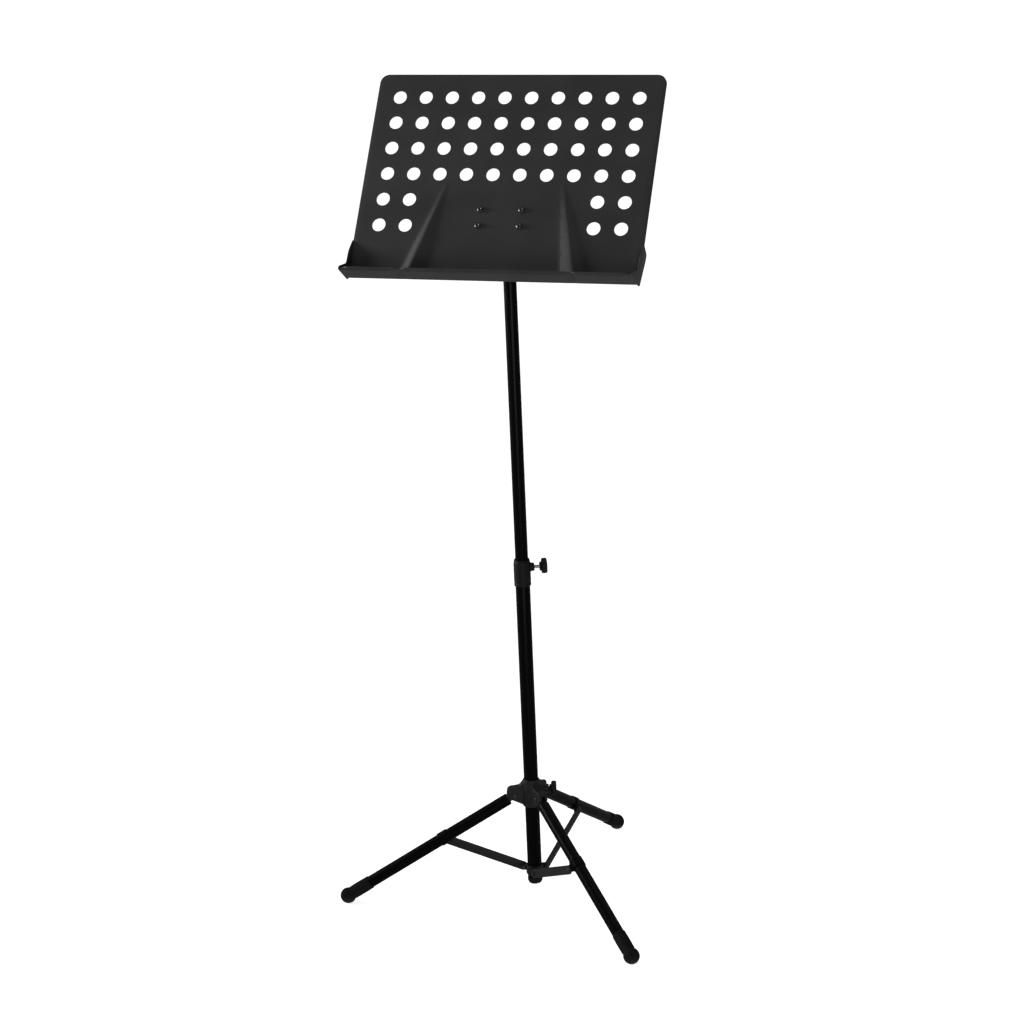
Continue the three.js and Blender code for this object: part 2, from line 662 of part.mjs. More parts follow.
// A channel behind the desk: a base plate on the sheet, and two cheeks back to the pivot.
function tiltBracket() {
  const face = SHEET_BACK - GAP;
  const root = face - BASE_THICKNESS;
  const base = box([-BASE_WIDTH / 2, -BASE_HEIGHT / 2, root], [BASE_WIDTH / 2, BASE_HEIGHT / 2, face]);
  const end = arc([0, 0], CHEEK_RADIUS, 195, 345, 8);
  const cheek = outline([...end, [BASE_HEIGHT / 2 - 4, root + 0.5], [4 - BASE_HEIGHT / 2, root + 0.5]]);
  const lows = [-CHEEK_IN - CHEEK_PLATE, CHEEK_IN];
  const cheeks = lows.map((low) => alongX(slab(cheek, low, low + CHEEK_PLATE)));
  const holes = boltPlaces().map(([x, y]) => rod(BOLT_RADIUS + GAP, root - 1, face + 1).translate(x, y, 0));
  return shaped([base, ...cheeks], [...holes, alongX(rod(PIVOT_BORE, -40, 40))]);
}

function deskBolt([x, y]) {
  const seat = SHEET_FRONT + GAP;
  const head = [[5.4, seat], [5.1, seat + 1.4], [3.6, seat + 2.6], [0, seat + 3]];
  return turned([[0, 34], [BOLT_RADIUS, 34], [BOLT_RADIUS, seat], ...head], PIN_SIDES).translate(x, y, 0);
}

function deskNut([x, y]) {
  const face = SHEET_BACK - BASE_THICKNESS - 2 * GAP;
  const nut = rod(5.77, face - 4.8, face, 6);
  return shaped([nut], [rod(BOLT_RADIUS + GAP, face - 6, face + 1)]).translate(x, y, 0);
}

function pivotBolt() {
  const seat = -CHEEK_IN - CHEEK_PLATE - GAP;
  const head = rod(7.5, seat - 5.3, seat, 6);
  return alongX(shaped([head, rod(PIVOT_BOLT_RADIUS, seat - 1, 35)]));
}

function desk() {
  const outside = CHEEK_IN + CHEEK_PLATE + GAP;
  const bolts = boltPlaces().flatMap((place, index) => [
    piece(`desk_bolt_${index + 1}`, deskBolt(place), 'darkSteel'),
    piece(`desk_nut_${index + 1}`, deskNut(place), 'steel'),
  ]);
  return group([
    piece('desk_panel', deskPanel(), 'powderCoat'),
    piece('tilt_bracket', tiltBracket(), 'powderCoat'),
    piece('pivot_bolt', pivotBolt(), 'steel'),
    piece('spring_washer', alongX(ring(PIVOT_BORE, 8.5, outside, outside + 1.6)), 'steel'),
    piece('tilt_knob', knob(15, outside + 1.9, outside + 18, PIVOT_BORE, 6), 'plastic'),
    ...bolts,
  ], { at: [0, 0, TILT_PIVOT_HEIGHT], turn: [90 - DESK_LEAN, 0, 0] });
}

// ---------------------------------------------------------------- whole stand

function stand() {
  const limbs = Object.entries(LEG_AZIMUTHS).flatMap(([letter, azimuth]) => [
    leg(letter, azimuth),
    strut(letter, azimuth),
  ]);
  const whole = group([pole(), hub(), ...limbs, innerTube(), desk()]);
  whole.updateMatrixWorld(true);
  const extent = new THREE.Box3().setFromObject(whole, true);
  const middle = extent.getCenter(new THREE.Vector3());
  whole.position.set(-middle.x, -middle.y, -extent.min.z);
  return whole;
}

export default stand();
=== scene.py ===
"""A folding orchestra music stand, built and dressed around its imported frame.

Every sub-assembly is worked out in millimetres in its own axes, and Place puts it in the row
frame in metres. Shapes are grids of points or outlines computed as whole arrays.
"""

import json
import logging
import math
from dataclasses import dataclass, replace
from enum import Enum
from typing import Any, Sequence

import bmesh
import bpy
import numpy as np
from mathutils import Matrix, Vector
from mathutils.geometry import delaunay_2d_cdt

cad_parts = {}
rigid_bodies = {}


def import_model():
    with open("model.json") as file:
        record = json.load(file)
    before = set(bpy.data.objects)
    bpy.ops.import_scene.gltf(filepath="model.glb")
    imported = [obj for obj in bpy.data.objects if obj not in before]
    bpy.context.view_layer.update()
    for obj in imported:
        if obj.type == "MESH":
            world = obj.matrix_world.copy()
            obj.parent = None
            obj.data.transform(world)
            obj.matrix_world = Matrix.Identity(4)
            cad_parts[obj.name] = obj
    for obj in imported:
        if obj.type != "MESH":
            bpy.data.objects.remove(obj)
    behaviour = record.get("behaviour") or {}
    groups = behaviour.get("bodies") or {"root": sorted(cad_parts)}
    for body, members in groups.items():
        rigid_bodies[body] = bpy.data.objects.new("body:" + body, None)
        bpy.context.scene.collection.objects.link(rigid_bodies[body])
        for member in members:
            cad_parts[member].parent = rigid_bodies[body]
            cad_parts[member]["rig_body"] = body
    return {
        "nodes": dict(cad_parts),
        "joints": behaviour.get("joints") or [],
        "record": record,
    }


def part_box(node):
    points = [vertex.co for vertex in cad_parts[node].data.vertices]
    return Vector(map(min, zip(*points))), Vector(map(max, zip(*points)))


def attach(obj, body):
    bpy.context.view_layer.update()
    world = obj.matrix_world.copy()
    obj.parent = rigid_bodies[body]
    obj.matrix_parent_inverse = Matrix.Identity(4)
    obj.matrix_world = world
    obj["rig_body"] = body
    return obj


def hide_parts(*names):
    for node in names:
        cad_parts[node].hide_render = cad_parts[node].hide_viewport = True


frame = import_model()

log = logging.getLogger("music_stand")

MM = 0.001  # metres in a millimetre
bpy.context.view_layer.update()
SMOOTH_ANGLE = math.radians(32)
LETTERS = ("a", "b", "c")


class Axis(Enum):
    """The axis that a turned shape is laid along, with the order its coordinates take."""

    X = (2, 0, 1)
    Y = (1, 2, 0)
    Z = (0, 1, 2)


# ------------------------------------------------------------------ shapes


@dataclass
class Shell:
    """A surface as points in millimetres and faces as rows of point numbers.

    Attributes:
        points: One row of x, y and z for each point.
        faces: The point numbers round each face.
    """

    points: np.ndarray
    faces: list[list[int]]

    def __add__(self, other: "Shell") -> "Shell":
        """Both surfaces in one, the other's faces numbered on from this one's points."""
        shift = len(self.points)
        faces = [[shift + corner for corner in face] for face in other.faces]
        return Shell(np.concatenate([self.points, other.points]), self.faces + faces)

    def along(self, axis: Axis) -> "Shell":
        """The shape with its Z laid along another axis."""
        return replace(self, points=self.points[:, axis.value])

    def moved(self, x: float = 0.0, y: float = 0.0, z: float = 0.0) -> "Shell":
        """The shape shifted by x, y and z."""
        return replace(self, points=self.points + np.array([x, y, z]))

    def spun(self, degrees: float) -> "Shell":
        """The shape turned about Z."""
        cos, sin = math.cos(math.radians(degrees)), math.sin(math.radians(degrees))
        turn = np.array([[cos, sin, 0.0], [-sin, cos, 0.0], [0.0, 0.0, 1.0]])
        return replace(self, points=self.points @ turn)


def woven(points: np.ndarray, around: bool = True, closed: bool = False) -> Shell:
    """Quads over a grid of points.

    Args:
        points: Rows by columns by 3.
        around: Joins the last column to the first.
        closed: Joins the last row to the first.

    Returns:
        The surface.
    """
    rows, columns = points.shape[:2]
    index = np.arange(rows * columns).reshape(rows, columns)
    if around:
        index = np.concatenate([index, index[:, :1]], axis=1)
    if closed:
        index = np.concatenate([index, index[:1]], axis=0)
    corners = [index[:-1, :-1], index[:-1, 1:], index[1:, 1:], index[1:, :-1]]
    return Shell(points.reshape(-1, 3), np.stack(corners, axis=-1).reshape(-1, 4).tolist())


def capped(points: np.ndarray) -> Shell:
    """A tube woven over rows of a loop, its first and last row each filled with one face."""
    rows, columns = points.shape[:2]
    tube = woven(points)
    last = (rows - 1) * columns
    ends = [list(range(columns))[::-1], list(range(last, last + columns))]
    return replace(tube, faces=tube.faces + ends)


def corners_cut(
    line: Sequence, radius: float, steps: int = 4, closed: bool = False
) -> np.ndarray:
    """A line whose corners give way to curves.

    Each corner p becomes the curve (1-t)^2 a + 2t(1-t) p + t^2 b, where a and b lie on its
    two sides, radius away or just under half the side if that is shorter.

    Args:
        line: The corners, one row each.
        radius: How far from its corner each curve starts.
        steps: Pieces in each curve.
        closed: True for a loop; otherwise the two ends stay.

    Returns:
        The rows of the new line.
    """
    line = np.asarray(line, float)

    def reach(side: np.ndarray) -> np.ndarray:
        """The part of each side that its curve takes."""
        length = np.linalg.norm(side, axis=1, keepdims=True)
        return side / np.maximum(length, 1e-9) * np.minimum(radius, 0.48 * length)

    start = line + reach(np.roll(line, 1, 0) - line)
    end = line + reach(np.roll(line, -1, 0) - line)
    t = np.linspace(0, 1, steps + 1)[None, :, None]
    curve = (1 - t) ** 2 * start[:, None] + 2 * t * (1 - t) * line[:, None] + t**2 * end[:, None]
    if not closed:
        curve[0], curve[-1] = line[0], line[-1]
    return curve.reshape(-1, line.shape[1])


def turned(profile: Sequence, sides: int = 48, radius: float = 0.5) -> Shell:
    """A profile turned round Z: x = r cos a, y = r sin a, z = h.

    Args:
        profile: Rows of radius and height. One that starts off the axis closes on itself.
        sides: Steps round the turn.
        radius: How much its corners are rounded.

    Returns:
        The closed surface.
    """
    profile = np.asarray(profile, float)
    loop = bool(profile[0, 0] > 0 and profile[-1, 0] > 0)
    line = corners_cut(profile, radius, closed=loop)
    angle = np.linspace(0, 2 * np.pi, sides, endpoint=False)
    return woven(around_z(line[:, :1] + 0 * angle, line[:, 1:] + 0 * angle, angle), closed=loop)


def around_z(radius: np.ndarray, height: np.ndarray, angle: np.ndarray) -> np.ndarray:
    """Grid points from grids of radius and height: x = r cos a, y = r sin a, z = h."""
    return np.stack([radius * np.cos(angle), radius * np.sin(angle), height], axis=-1)


def tube(bore: float, radius: float, low: float, high: float, edge: float = 0.4) -> Shell:
    """A straight round tube with a bore, along Z."""
    return turned([[bore, low], [radius, low], [radius, high], [bore, high]], 64, edge)


def rod(radius: float, low: float, high: float, edge: float = 0.4, sides: int = 40) -> Shell:
    """A round rod along Z with rounded edges."""
    return turned([[0, low], [radius, low], [radius, high], [0, high]], sides, edge)


def slab(outline: np.ndarray, low: float, high: float, edge: float = 0.6) -> Shell:
    """An outline in X and Y thickened along Z, with rounded edges.

    Each row is the outline drawn in along its normals by edge (1 - sin a), at edge (1 - cos a)
    from the face, for a from 0 to a quarter turn and back.

    Args:
        outline: Rows of x and y, anticlockwise.
        low: Height of one face.
        high: Height of the other face.
        edge: Radius of the rounded edges.

    Returns:
        The closed surface.
    """
    side = np.roll(outline, -1, 0) - np.roll(outline, 1, 0)
    side /= np.linalg.norm(side, axis=1, keepdims=True)
    normal = np.stack([side[:, 1], -side[:, 0]], axis=1)
    angle = np.radians([0, 22.5, 45, 67.5, 90])
    inset = edge * (1 - np.sin(angle))
    rise = edge * (1 - np.cos(angle))
    insets = np.concatenate([inset, inset[::-1]])
    heights = np.concatenate([low + rise, high - rise[::-1]])
    flat = outline[None] - insets[:, None, None] * normal[None]
    height = np.broadcast_to(heights[:, None, None], (*flat.shape[:2], 1))
    return capped(np.concatenate([flat, height], axis=2))


def arc(centre: Sequence, radius: float, start: float, end: float, steps: int) -> np.ndarray:
    """Points on an arc from start to end degrees, as rows of two coordinates."""
    angle = np.radians(np.linspace(start, end, steps + 1))
    return np.asarray(centre) + radius * np.stack([np.cos(angle), np.sin(angle)], axis=1)


def hexagon_radius(half: float, angle: np.ndarray) -> np.ndarray:
    """Distance from the middle of a hexagon to its side: half / cos of the angle off a flat."""
    sixth = np.pi / 3
    return half / np.cos(np.mod(angle, sixth) - sixth / 2)


def hexagonal(half: float, rows: Sequence, sides: int = 72) -> Shell:
    """A hexagonal prism whose corners are chamfered by a cone: r = min(hexagon, limit).

    Args:
        half: Half its width across the flats.
        rows: Rows of the cone's radius limit and the height. A first limit over 0 leaves a bore.
        sides: Steps round the turn.

    Returns:
        The closed surface.
    """
    rows = np.asarray(rows, float)
    angle = np.linspace(0, 2 * np.pi, sides, endpoint=False)
    radius = np.minimum(hexagon_radius(half, angle)[None], rows[:, :1])
    return woven(around_z(radius, rows[:, 1:] + 0 * angle, angle), closed=bool(rows[0, 0] > 0))


def threaded(radius: float, pitch: float, low: float, high: float, sides: int = 28) -> Shell:
    """A screw along Z: r falls by 0.3 pitch times the distance of z/pitch - a/turn to its crest.

    Args:
        radius: Radius over the crests.
        pitch: Rise of the thread in a turn.
        low: Height of the tip.
        high: Height of the other end.
        sides: Steps round the turn.

    Returns:
        The closed surface.
    """
    angle = np.linspace(0, 2 * np.pi, sides, endpoint=False)[None]
    height = np.linspace(low, high, int((high - low) / pitch * 6))[:, None]
    wave = np.abs(2 * np.mod(height / pitch - angle / (2 * np.pi), 1) - 1)
    tip = np.clip((height - low) / pitch, 0, 1)
    grid = (radius - 0.6 * pitch * wave - 0.7 * (1 - tip)) + 0 * angle
    points = around_z(grid, height + 0 * angle, angle)
    ends = np.zeros((1, sides, 3))
    return woven(np.concatenate([ends + [0, 0, low], points, ends + [0, 0, high]]))


# ------------------------------------------------------------------ places


@dataclass(frozen=True)
class Place:
    """Where a sub-assembly's own axes lie in the row frame.

    Attributes:
        origin: Its origin in metres.
        axes: Its X, Y and Z axes as the rows of a 3 by 3 array.
    """

    origin: np.ndarray
    axes: np.ndarray

    def put(self, points: np.ndarray) -> np.ndarray:
        """Points in the row frame in metres: origin + (x X + y Y + z Z) / 1000."""
        return self.origin + MM * points @ self.axes


def axes_from(x: np.ndarray, y: np.ndarray) -> np.ndarray:
    """Three unit axes as rows, the third square to X and Y."""
    x, y = x / np.linalg.norm(x), y / np.linalg.norm(y)
    return np.array([x, y, np.cross(x, y)])


def joint(name: str) -> dict:
    """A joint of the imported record, by name."""
    return next(j for j in frame["joints"] if j["name"] == name)


def joint_place(name: str, towards: str) -> Place:
    """A limb's own axes: origin on its hinge, Y along the hinge, X towards a node's middle."""
    hinge = joint(name)
    origin, y = np.array(hinge["pos_m"]), np.array(hinge["axis"], float)
    low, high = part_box(towards)
    reach = np.array((low + high) / 2) - origin
    return Place(origin, axes_from(reach - (reach @ y) * y, y))


def pole_place() -> Place:
    """The pole's axes: on its axis at the floor, with the row frame's directions."""
    x, y, _ = joint("mast_swivel")["pos_m"]
    return Place(np.array([x, y, 0.0]), np.eye(3))


def lock_place(name: str) -> Place:
    """A lock screw's axes: on the pole's axis at the screw's height, X out along the screw."""
    hinge = joint(name)
    origin = pole_place().origin + np.array([0, 0, hinge["pos_m"][2]])
    x = np.array(hinge["axis"], float)
    return Place(origin, axes_from(x, np.cross([0, 0, 1], x)))


def desk_place() -> Place:
    """The desk's axes: on the tilt pivot, X along the desk, Y up its face, Z to the reader."""
    mounts = {m["name"]: m for m in frame["record"]["mounts"]}
    normal = np.array(mounts["reading_face"]["axis"], float)
    x = np.array([1.0, 0.0, 0.0])
    return Place(np.array(joint("desk_tilt")["pos_m"]), axes_from(x, np.cross(normal, x)))


def azimuth(letter: str) -> float:
    """The direction of a leg round the pole, in degrees, from its hinge's axis."""
    x, y, _ = joint(f"leg_{letter}_fold")["axis"]
    return math.degrees(math.atan2(-x, y))


# ------------------------------------------------------------------ shader arithmetic


class Signal:
    """A number that varies over a surface, with the arithmetic that patterns are written in."""

    def __init__(self, recipe: "Recipe", socket: bpy.types.NodeSocket) -> None:
        """Wraps an output socket of a recipe's node."""
        self.recipe = recipe
        self.socket = socket

    def maths(self, operation: str, *values: Any) -> "Signal":
        """One Math node on the values."""
        made = self.recipe.node("Math", {"operation": operation}, dict(enumerate(values)))
        return Signal(self.recipe, made.outputs[0])

    def __add__(self, other: Any) -> "Signal":
        """self + other."""
        return self.maths("ADD", self, other)

    def __sub__(self, other: Any) -> "Signal":
        """self - other."""
        return self.maths("SUBTRACT", self, other)

    def __rsub__(self, other: Any) -> "Signal":
        """other - self."""
        return self.maths("SUBTRACT", other, self)

    def __mul__(self, other: Any) -> "Signal":
        """self * other."""
        return self.maths("MULTIPLY", self, other)

    def __pow__(self, power: Any) -> "Signal":
        """self ** power."""
        return self.maths("POWER", self, power)

    __radd__ = __add__
    __rmul__ = __mul__

    def ramp(self, low: float, high: float, start: float = 0.0, end: float = 1.0) -> "Signal":
        """A smooth step from start where self is low to end where self is high."""
        inputs = {0: self, 1: low, 2: high, 3: start, 4: end}
        made = self.recipe.node("MapRange", {"interpolation_type": "SMOOTHSTEP"}, inputs)
        return Signal(self.recipe, made.outputs[0])


class Recipe:
    """The nodes of one material."""

    def __init__(self, name: str) -> None:
        """Starts a material that holds one principled shader."""
        self.material = bpy.data.materials.new(name)
        self.material.use_nodes = True
        self.tree = self.material.node_tree
        self.shader = self.tree.nodes["Principled BSDF"]

    def node(self, kind: str, settings: dict, inputs: dict) -> bpy.types.Node:
        """Adds any node.

        Args:
            kind: The node's type, without its ShaderNode prefix.
            settings: Its properties, which are set first.
            inputs: Its sockets by name or number, with a signal, a socket or a value for each.

        Returns:
            The node.
        """
        made = self.tree.nodes.new("ShaderNode" + kind)
        for key, value in settings.items():
            setattr(made, key, value)
        for key, value in inputs.items():
            self.join(value, made.inputs[key])
        return made

    def join(self, value: Any, socket: bpy.types.NodeSocket) -> None:
        """Links a signal or socket to an input, or sets a plain value on it."""
        source = value.socket if isinstance(value, Signal) else value
        if isinstance(source, bpy.types.NodeSocket):
            self.tree.links.new(source, socket)
        else:
            socket.default_value = source

    def place(self, stretch: Sequence[float] = (1, 1, 1)) -> bpy.types.NodeSocket:
        """Object coordinates, scaled along each axis."""
        where = self.node("TexCoord", {}, {}).outputs["Object"]
        return self.node("Mapping", {}, {"Vector": where, "Scale": stretch}).outputs[0]

    def noise(
        self, size_mm: float, detail: float = 2.0, stretch: Sequence[float] = (1, 1, 1)
    ) -> Signal:
        """Soft noise whose lumps are about size_mm across."""
        inputs = {"Vector": self.place(stretch), "Scale": 1 / (size_mm * MM), "Detail": detail}
        return Signal(self, self.node("TexNoise", {}, inputs).outputs[0])

    def grains(self, size_mm: float) -> Signal:
        """Distance to the nearest of scattered points about size_mm apart, in that size."""
        inputs = {"Vector": self.place(), "Scale": 1 / (size_mm * MM)}
        return Signal(self, self.node("TexVoronoi", {}, inputs).outputs[0])

    def height(self) -> Signal:
        """Height above the floor in metres."""
        parts = self.node("SeparateXYZ", {}, {0: self.place()})
        return Signal(self, parts.outputs["Z"])

    def level(self) -> Signal:
        """How far a surface faces up, from -1 to 1."""
        normal = self.node("NewGeometry", {}, {}).outputs["Normal"]
        return Signal(self, self.node("SeparateXYZ", {}, {0: normal}).outputs["Z"])

    def edges(self) -> Signal:
        """A mask of the surface's sharper outward edges, from its pointedness."""
        pointed = self.node("NewGeometry", {}, {}).outputs["Pointiness"]
        return Signal(self, pointed).ramp(0.53, 0.62)

    def stored(self, name: str) -> Signal:
        """An attribute that the mesh stores."""
        return Signal(self, self.node("Attribute", {"attribute_name": name}, {}).outputs["Fac"])

    def tint(self, mask: Signal, low: Any, high: Any) -> bpy.types.NodeSocket:
        """A colour mixed from low to high by a mask. Either end may be a tint's own socket."""
        ends = {
            6 + place: colour if isinstance(colour, bpy.types.NodeSocket) else (*colour, 1.0)
            for place, colour in enumerate((low, high))
        }
        made = self.node("Mix", {"data_type": "RGBA"}, {0: mask, **ends})
        return made.outputs[2]

    def bump(self, height: Signal, depth_mm: float) -> None:
        """Raises the surface by the signal times depth_mm, for its shading."""
        inputs = {"Height": height, "Strength": 1.0, "Distance": depth_mm * MM}
        made = self.node("Bump", {}, inputs)
        self.join(made.outputs[0], self.shader.inputs["Normal"])

    def set(self, **values: Any) -> None:
        """Sets or links the shader's sockets, named with underscores for spaces."""
        for key, value in values.items():
            self.join(value, self.shader.inputs[key.replace("_", " ")])


# ------------------------------------------------------------------ finishes


@dataclass(frozen=True)
class Finish:
    """A finish of one of the record's material slots.

    Attributes:
        slot: The record's name of the slot.
        dark: The colour where it is plain.
        light: The colour where it is rubbed or dusty.
        roughness: Its usual roughness.
        specular: Strength of its reflection, 0.5 for plain varnish.
    """

    slot: str
    dark: tuple[float, float, float]
    light: tuple[float, float, float]
    roughness: float
    specular: float = 0.25

    def material(self) -> bpy.types.Material:
        """The material, made once and then shared."""
        name = f"finish_{self.slot}"
        found = bpy.data.materials.get(name)
        if found:
            return found
        recipe = Recipe(name)
        recipe.set(Specular_IOR_Level=self.specular)
        self.mix(recipe)
        return recipe.material

    def mix(self, recipe: Recipe) -> None:
        """Adds the finish's own pattern to the recipe."""
        raise NotImplementedError


class PowderCoat(Finish):
    """Satin powder coat: a fine orange peel, cloudy gloss, and rubbed rims."""

    def mix(self, recipe: Recipe) -> None:
        """Peel = two noises of about 1 mm; the colour lightens in faint clouds and on rims."""
        peel = recipe.noise(0.9, 1.0) * 0.7 + recipe.noise(2.2, 1.0) * 0.3
        cloud = recipe.noise(85, 3.0)
        speck = recipe.grains(0.55)
        rubbed = recipe.stored("rubbed") * recipe.noise(6, 2.0).ramp(0.42, 0.62)
        base = recipe.tint(cloud.ramp(0.3, 0.7), self.dark, tuple(1.22 * c for c in self.dark))
        recipe.set(
            Base_Color=recipe.tint(rubbed * 0.55, base, self.light),
            Roughness=cloud * 0.16 + peel * 0.10 + (self.roughness - 0.13) - rubbed * 0.08,
        )
        recipe.bump(peel + speck * 0.18, 0.05)


class GlossEnamel(Finish):
    """Glossy enamel on drawn tube: faint draw lines, a little dust and a few fine scratches."""

    def mix(self, recipe: Recipe) -> None:
        """Scratches are long thin noise; dust gathers where the surface faces up."""
        lines = recipe.noise(1.1, 2.0, (1.0, 1.0, 0.02))
        scratch = lines.ramp(0.66, 0.72) * recipe.noise(30, 2.0).ramp(0.45, 0.6)
        dust = recipe.noise(9, 4.0).ramp(0.45, 0.8) * recipe.level().ramp(0.1, 0.9)
        base = recipe.tint(dust * 0.15, self.dark, self.light)
        recipe.set(
            Base_Color=recipe.tint(scratch * 0.3, base, self.light),
            Roughness=recipe.noise(40, 3.0) * 0.1 + dust * 0.2 + scratch * 0.15
            + (self.roughness - 0.05),
        )
        recipe.bump(recipe.noise(14, 1.0) + lines * 0.1, 0.035)


class CastPaint(Finish):
    """Semi-gloss paint over a sand-cast skin, worn through a little on the edges."""

    def mix(self, recipe: Recipe) -> None:
        """Skin = lumps of 1.6 mm and 0.5 mm; edges show the lighter undercoat in patches."""
        skin = recipe.noise(1.6, 2.0) + recipe.noise(0.5, 1.0) * 0.3
        worn = recipe.edges() * recipe.noise(2.5, 3.0).ramp(0.45, 0.6)
        dust = recipe.noise(5, 4.0).ramp(0.5, 0.85) * recipe.level().ramp(0.3, 1.0)
        base = recipe.tint(dust * 0.4, self.dark, tuple(2.4 * c for c in self.dark))
        recipe.set(
            Base_Color=recipe.tint(worn * 0.7, base, self.light),
            Roughness=skin * 0.12 + (self.roughness - 0.06) + dust * 0.2,
            Metallic=worn * 0.5,
        )
        recipe.bump(skin, 0.09)


class MouldedPlastic(Finish):
    """Moulded plastic with a spark-eroded grain, polished on its edges by handling."""

    def mix(self, recipe: Recipe) -> None:
        """Grain = cells of 0.7 mm under noise; edges are smoother and a shade lighter."""
        grain = recipe.grains(0.7) + recipe.noise(0.45, 1.0) * 0.5
        handled = recipe.edges() * recipe.noise(7, 2.0).ramp(0.35, 0.65)
        recipe.set(
            Base_Color=recipe.tint(handled * 0.5 + recipe.noise(3, 3.0) * 0.15, self.dark, self.light),
            Roughness=grain * 0.12 + (self.roughness - 0.08) - handled * 0.18,
        )
        recipe.bump(grain, 0.06)


class FootRubber(Finish):
    """Matte rubber, bloomed grey and scuffed towards the floor."""

    def mix(self, recipe: Recipe) -> None:
        """Scuffs fade out 16 mm above the floor; bloom is noise of two sizes."""
        low = recipe.height().ramp(0.001, 0.016, 1.0, 0.0)
        scuff = low * recipe.noise(1.8, 4.0).ramp(0.4, 0.62)
        bloom = recipe.noise(6, 4.0).ramp(0.35, 0.75)
        base = recipe.tint(bloom * 0.45, self.dark, tuple(1.9 * c for c in self.dark))
        recipe.set(
            Base_Color=recipe.tint(scuff * 0.6, base, self.light),
            Roughness=bloom * 0.1 + (self.roughness - 0.05) + scuff * 0.06,
        )
        recipe.bump(recipe.noise(0.8, 3.0) + scuff * 0.5, 0.1)


@dataclass(frozen=True)
class Steel(Finish):
    """Bare or plated steel, with fine turning marks and darker stained patches.

    Attributes:
        metal: How metallic it is, from 0 to 1.
    """

    metal: float = 1.0

    def mix(self, recipe: Recipe) -> None:
        """Stain = noise of 4 mm; marks are noise of 0.25 mm that roughen and dent it."""
        stain = recipe.noise(4, 4.0).ramp(0.42, 0.75)
        marks = recipe.noise(0.25, 2.0)
        recipe.set(
            Base_Color=recipe.tint(stain * 0.8 + marks * 0.2, self.light, self.dark),
            Roughness=marks * 0.16 + stain * 0.14 + (self.roughness - 0.1),
            Metallic=self.metal,
        )
        recipe.bump(marks + stain * 0.2, 0.02)


class Nylon(Finish):
    """Natural nylon: milky, faintly mottled, a little yellowed."""

    def mix(self, recipe: Recipe) -> None:
        """Mottle = noise of 5 mm; the skin is a faint noise of 0.6 mm."""
        mottle = recipe.noise(5, 3.0)
        recipe.set(
            Base_Color=recipe.tint(mottle, self.light, self.dark),
            Roughness=mottle * 0.14 + (self.roughness - 0.07),
            Subsurface_Weight=0.1,
        )
        recipe.bump(recipe.noise(0.6, 2.0), 0.03)


class Skin(Enum):
    """The finishes of this stand, one for each of the record's slots."""

    DESK = PowderCoat("desk_paint", (0.019, 0.0193, 0.02), (0.09, 0.09, 0.094), 0.5, 0.25)
    TUBE = GlossEnamel("gloss_paint", (0.001, 0.001, 0.0012), (0.02, 0.02, 0.021), 0.3, 0.06)
    CAST = CastPaint("cast_paint", (0.009, 0.009, 0.0095), (0.08, 0.08, 0.084), 0.45, 0.2)
    SHELL = MouldedPlastic("black_plastic", (0.004, 0.004, 0.0045), (0.016, 0.016, 0.017), 0.5, 0.12)
    GRIP = MouldedPlastic("knob_plastic", (0.004, 0.004, 0.0045), (0.018, 0.018, 0.019), 0.48, 0.14)
    FOOT = FootRubber("rubber", (0.004, 0.004, 0.0042), (0.06, 0.058, 0.056), 0.78, 0.1)
    ZINC = Steel("bright_steel", (0.34, 0.34, 0.35), (0.62, 0.62, 0.63), 0.3, 0.5)
    OXIDE = Steel("dark_steel", (0.02, 0.02, 0.022), (0.06, 0.06, 0.063), 0.42, 0.5, 0.9)
    NYLON = Nylon("nylon", (0.55, 0.52, 0.44), (0.74, 0.72, 0.66), 0.5, 0.4)


# ------------------------------------------------------------------ pieces


def mesh_of(name: str, shell: Shell, place: Place) -> bpy.types.Mesh:
    """A mesh from a shell, put in place, its doubles merged and its faces turned outwards."""
    mesh = bpy.data.meshes.new(name)
    mesh.from_pydata(place.put(shell.points), [], shell.faces)
    work = bmesh.new()
    work.from_mesh(mesh)
    bmesh.ops.remove_doubles(work, verts=work.verts, dist=2e-6)
    bmesh.ops.dissolve_degenerate(work, dist=1e-6, edges=work.edges)
    bmesh.ops.recalc_face_normals(work, faces=work.faces)
    work.to_mesh(mesh)
    work.free()
    return mesh


def settled(thing: bpy.types.Object) -> bpy.types.Object:
    """The object with its modifiers worked into its mesh."""
    graph = bpy.context.evaluated_depsgraph_get()
    final = bpy.data.meshes.new_from_object(thing.evaluated_get(graph))
    thing.modifiers.clear()
    thing.data = final
    return thing


def shown(mesh: bpy.types.Mesh) -> bpy.types.Object:
    """A new object that shows a mesh, linked into the scene."""
    thing = bpy.data.objects.new(mesh.name, mesh)
    bpy.context.scene.collection.objects.link(thing)
    return thing


def modifier(thing: bpy.types.Object, kind: str, **settings: Any) -> None:
    """Adds a modifier with its settings."""
    added = thing.modifiers.new(kind.title(), kind)
    for key, value in settings.items():
        setattr(added, key, value)


def finished(thing: bpy.types.Object, skin: Skin, *nodes: str) -> bpy.types.Object:
    """Smooths and dresses a piece, and sets it on its body in place of its CAD nodes.

    Args:
        thing: The piece, its modifiers already worked in.
        skin: Its finish.
        nodes: The CAD nodes that it stands for, all on one body.

    Returns:
        The piece.
    """
    mesh = thing.data
    mesh.polygons.foreach_set("use_smooth", np.ones(len(mesh.polygons), bool))
    mesh.set_sharp_from_angle(angle=SMOOTH_ANGLE)
    mesh.materials.clear()
    mesh.materials.append(skin.value.material())
    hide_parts(*nodes)
    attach(thing, frame["nodes"][nodes[0]]["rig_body"])
    log.info("%s: %d faces", thing.name, len(mesh.polygons))
    return thing


